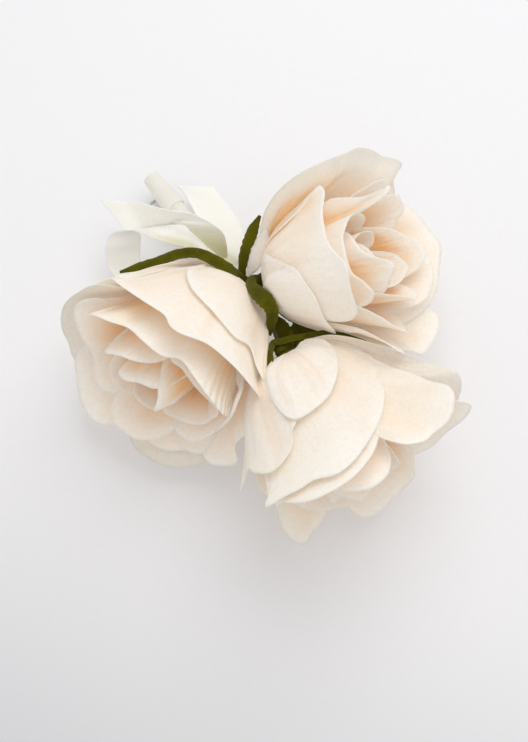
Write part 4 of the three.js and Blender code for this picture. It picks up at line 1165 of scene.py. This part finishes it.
def add_bow(material):
    for name, strip in STRIPS.items():
        piece = grid_piece(f"bow_{name}", 24, 220, strip_shape(strip), RIBBON_CLOTH)
        dress(piece, material, "ribbon", "bow")

    def lumps(turn, along):
        share = (along - BAND_START) / BAND_LENGTH
        toward = smooth(0.5 + 0.5 * np.cos(turn - math.radians(BAND_BULGE)))
        lump = (0.35 + 1.2 * toward) * np.sin(np.clip(share, 0, 1) * math.pi)
        return lump + 0.25 * waves(along * 2.2, turn * 0.7, 81, 1.3, 3)

    band = sleeve(BAND_START, BAND_START + BAND_LENGTH, WRAP_INNER, WRAP_INNER + BAND_THICKNESS, lumps)
    knot = round_piece("bow_knot", 72, 80, band)
    dress(knot, material, "ribbon", "bow")


# Stage and light

FLOOR_SIZE = 3000
FLOOR_DROP = 0.8
FLOOR_NEAR = paint(246, 246, 248)
FLOOR_GRAIN = paint(243, 243, 246)
FLOOR_PAINTED_SHADE = paint(216, 217, 220)
FLOOR_FADE = TURN @ np.array([-0.35, -0.93, 0.0])
FLOOR_FADE_RUN = (0.04, 0.18)
FLOOR_PAINTED_LIGHT = 0.06
KEY_PLACE = np.array([90, 170, 440])
KEY_TARGET = np.array([0, 0, 10])
KEY_POWER = 0.76
KEY_SIZE = 0.4
WORLD_COLOUR = (1.0, 0.99, 0.98, 1)
WORLD_STRENGTH = 0.69


def add_floor():
    floor_level = cad_box[0][2] - FLOOR_DROP * MM
    select()
    bpy.ops.mesh.primitive_plane_add(size=FLOOR_SIZE * MM, location=(0, 0, floor_level))
    floor = bpy.context.object
    floor.name = "table"
    shader = Shader("white table")
    place = shader.object_place()
    grain = shader.noise(place, scale=400)
    x, y, _ = shader.split(place)
    toward = x * FLOOR_FADE[0] + y * FLOOR_FADE[1]
    base = shader.mix(grain, FLOOR_NEAR, FLOOR_GRAIN)
    # Painted shade: the table darkens towards the front left, where the lamp's light falls off
    base = shader.mix(toward.step(*FLOOR_FADE_RUN), base, FLOOR_PAINTED_SHADE)
    look = {"Base_Color": base, "Roughness": 0.9, "Specular_IOR_Level": 0.1}
    # The table's emission is painted light that lifts the object's shadows on it
    floor.data.materials.append(shader.finish(**look, Emission_Color=base, Emission_Strength=FLOOR_PAINTED_LIGHT))


def add_light():
    world = bpy.data.worlds.new("studio")
    bpy.context.scene.world = world
    world.use_nodes = True
    background = world.node_tree.nodes["Background"]
    background.inputs["Color"].default_value = WORLD_COLOUR
    background.inputs["Strength"].default_value = WORLD_STRENGTH
    bpy.ops.object.light_add(type="AREA", location=to_frame(KEY_PLACE))
    key = bpy.context.object
    key.data.shape = "DISK"
    key.data.size = KEY_SIZE
    key.data.energy = KEY_POWER
    aim(key, KEY_TARGET)


ROSE_SEEDS = 100
LAYER_SEEDS = 1000
FOLD_SEED = 700
BUD_SEED = 5000
CALYX_SEED = 6000

add_camera()
add_floor()
add_light()
petal_cloth = petal_material()
sepal_cloth = sepal_material()
ribbon = ribbon_material()
tape = tape_material()
steel = steel_material()
for number, rose in enumerate(ROSES):
    seed = ROSE_SEEDS * number
    rose.seed = FOLD_SEED + 10 * number
    for level, name in enumerate(LAYERS):
        add_petals(rose, name, level, seed + LAYER_SEEDS * level, petal_cloth)
    add_bud(rose, seed + BUD_SEED, petal_cloth)
    add_calyx(rose, seed + CALYX_SEED, sepal_cloth)
    add_hip(rose, sepal_cloth)
    add_wire(rose, tape)
add_tape(tape)
add_wrap(ribbon)
add_cap(ribbon)
add_bow(ribbon)
for node in ("pin_bar", "pin_rivet", "pin_needle", "pin_sleeve"):
    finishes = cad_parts[node].data.materials
    finishes.clear()
    finishes.append(steel)

bpy.context.scene.view_settings.view_transform = "Standard"
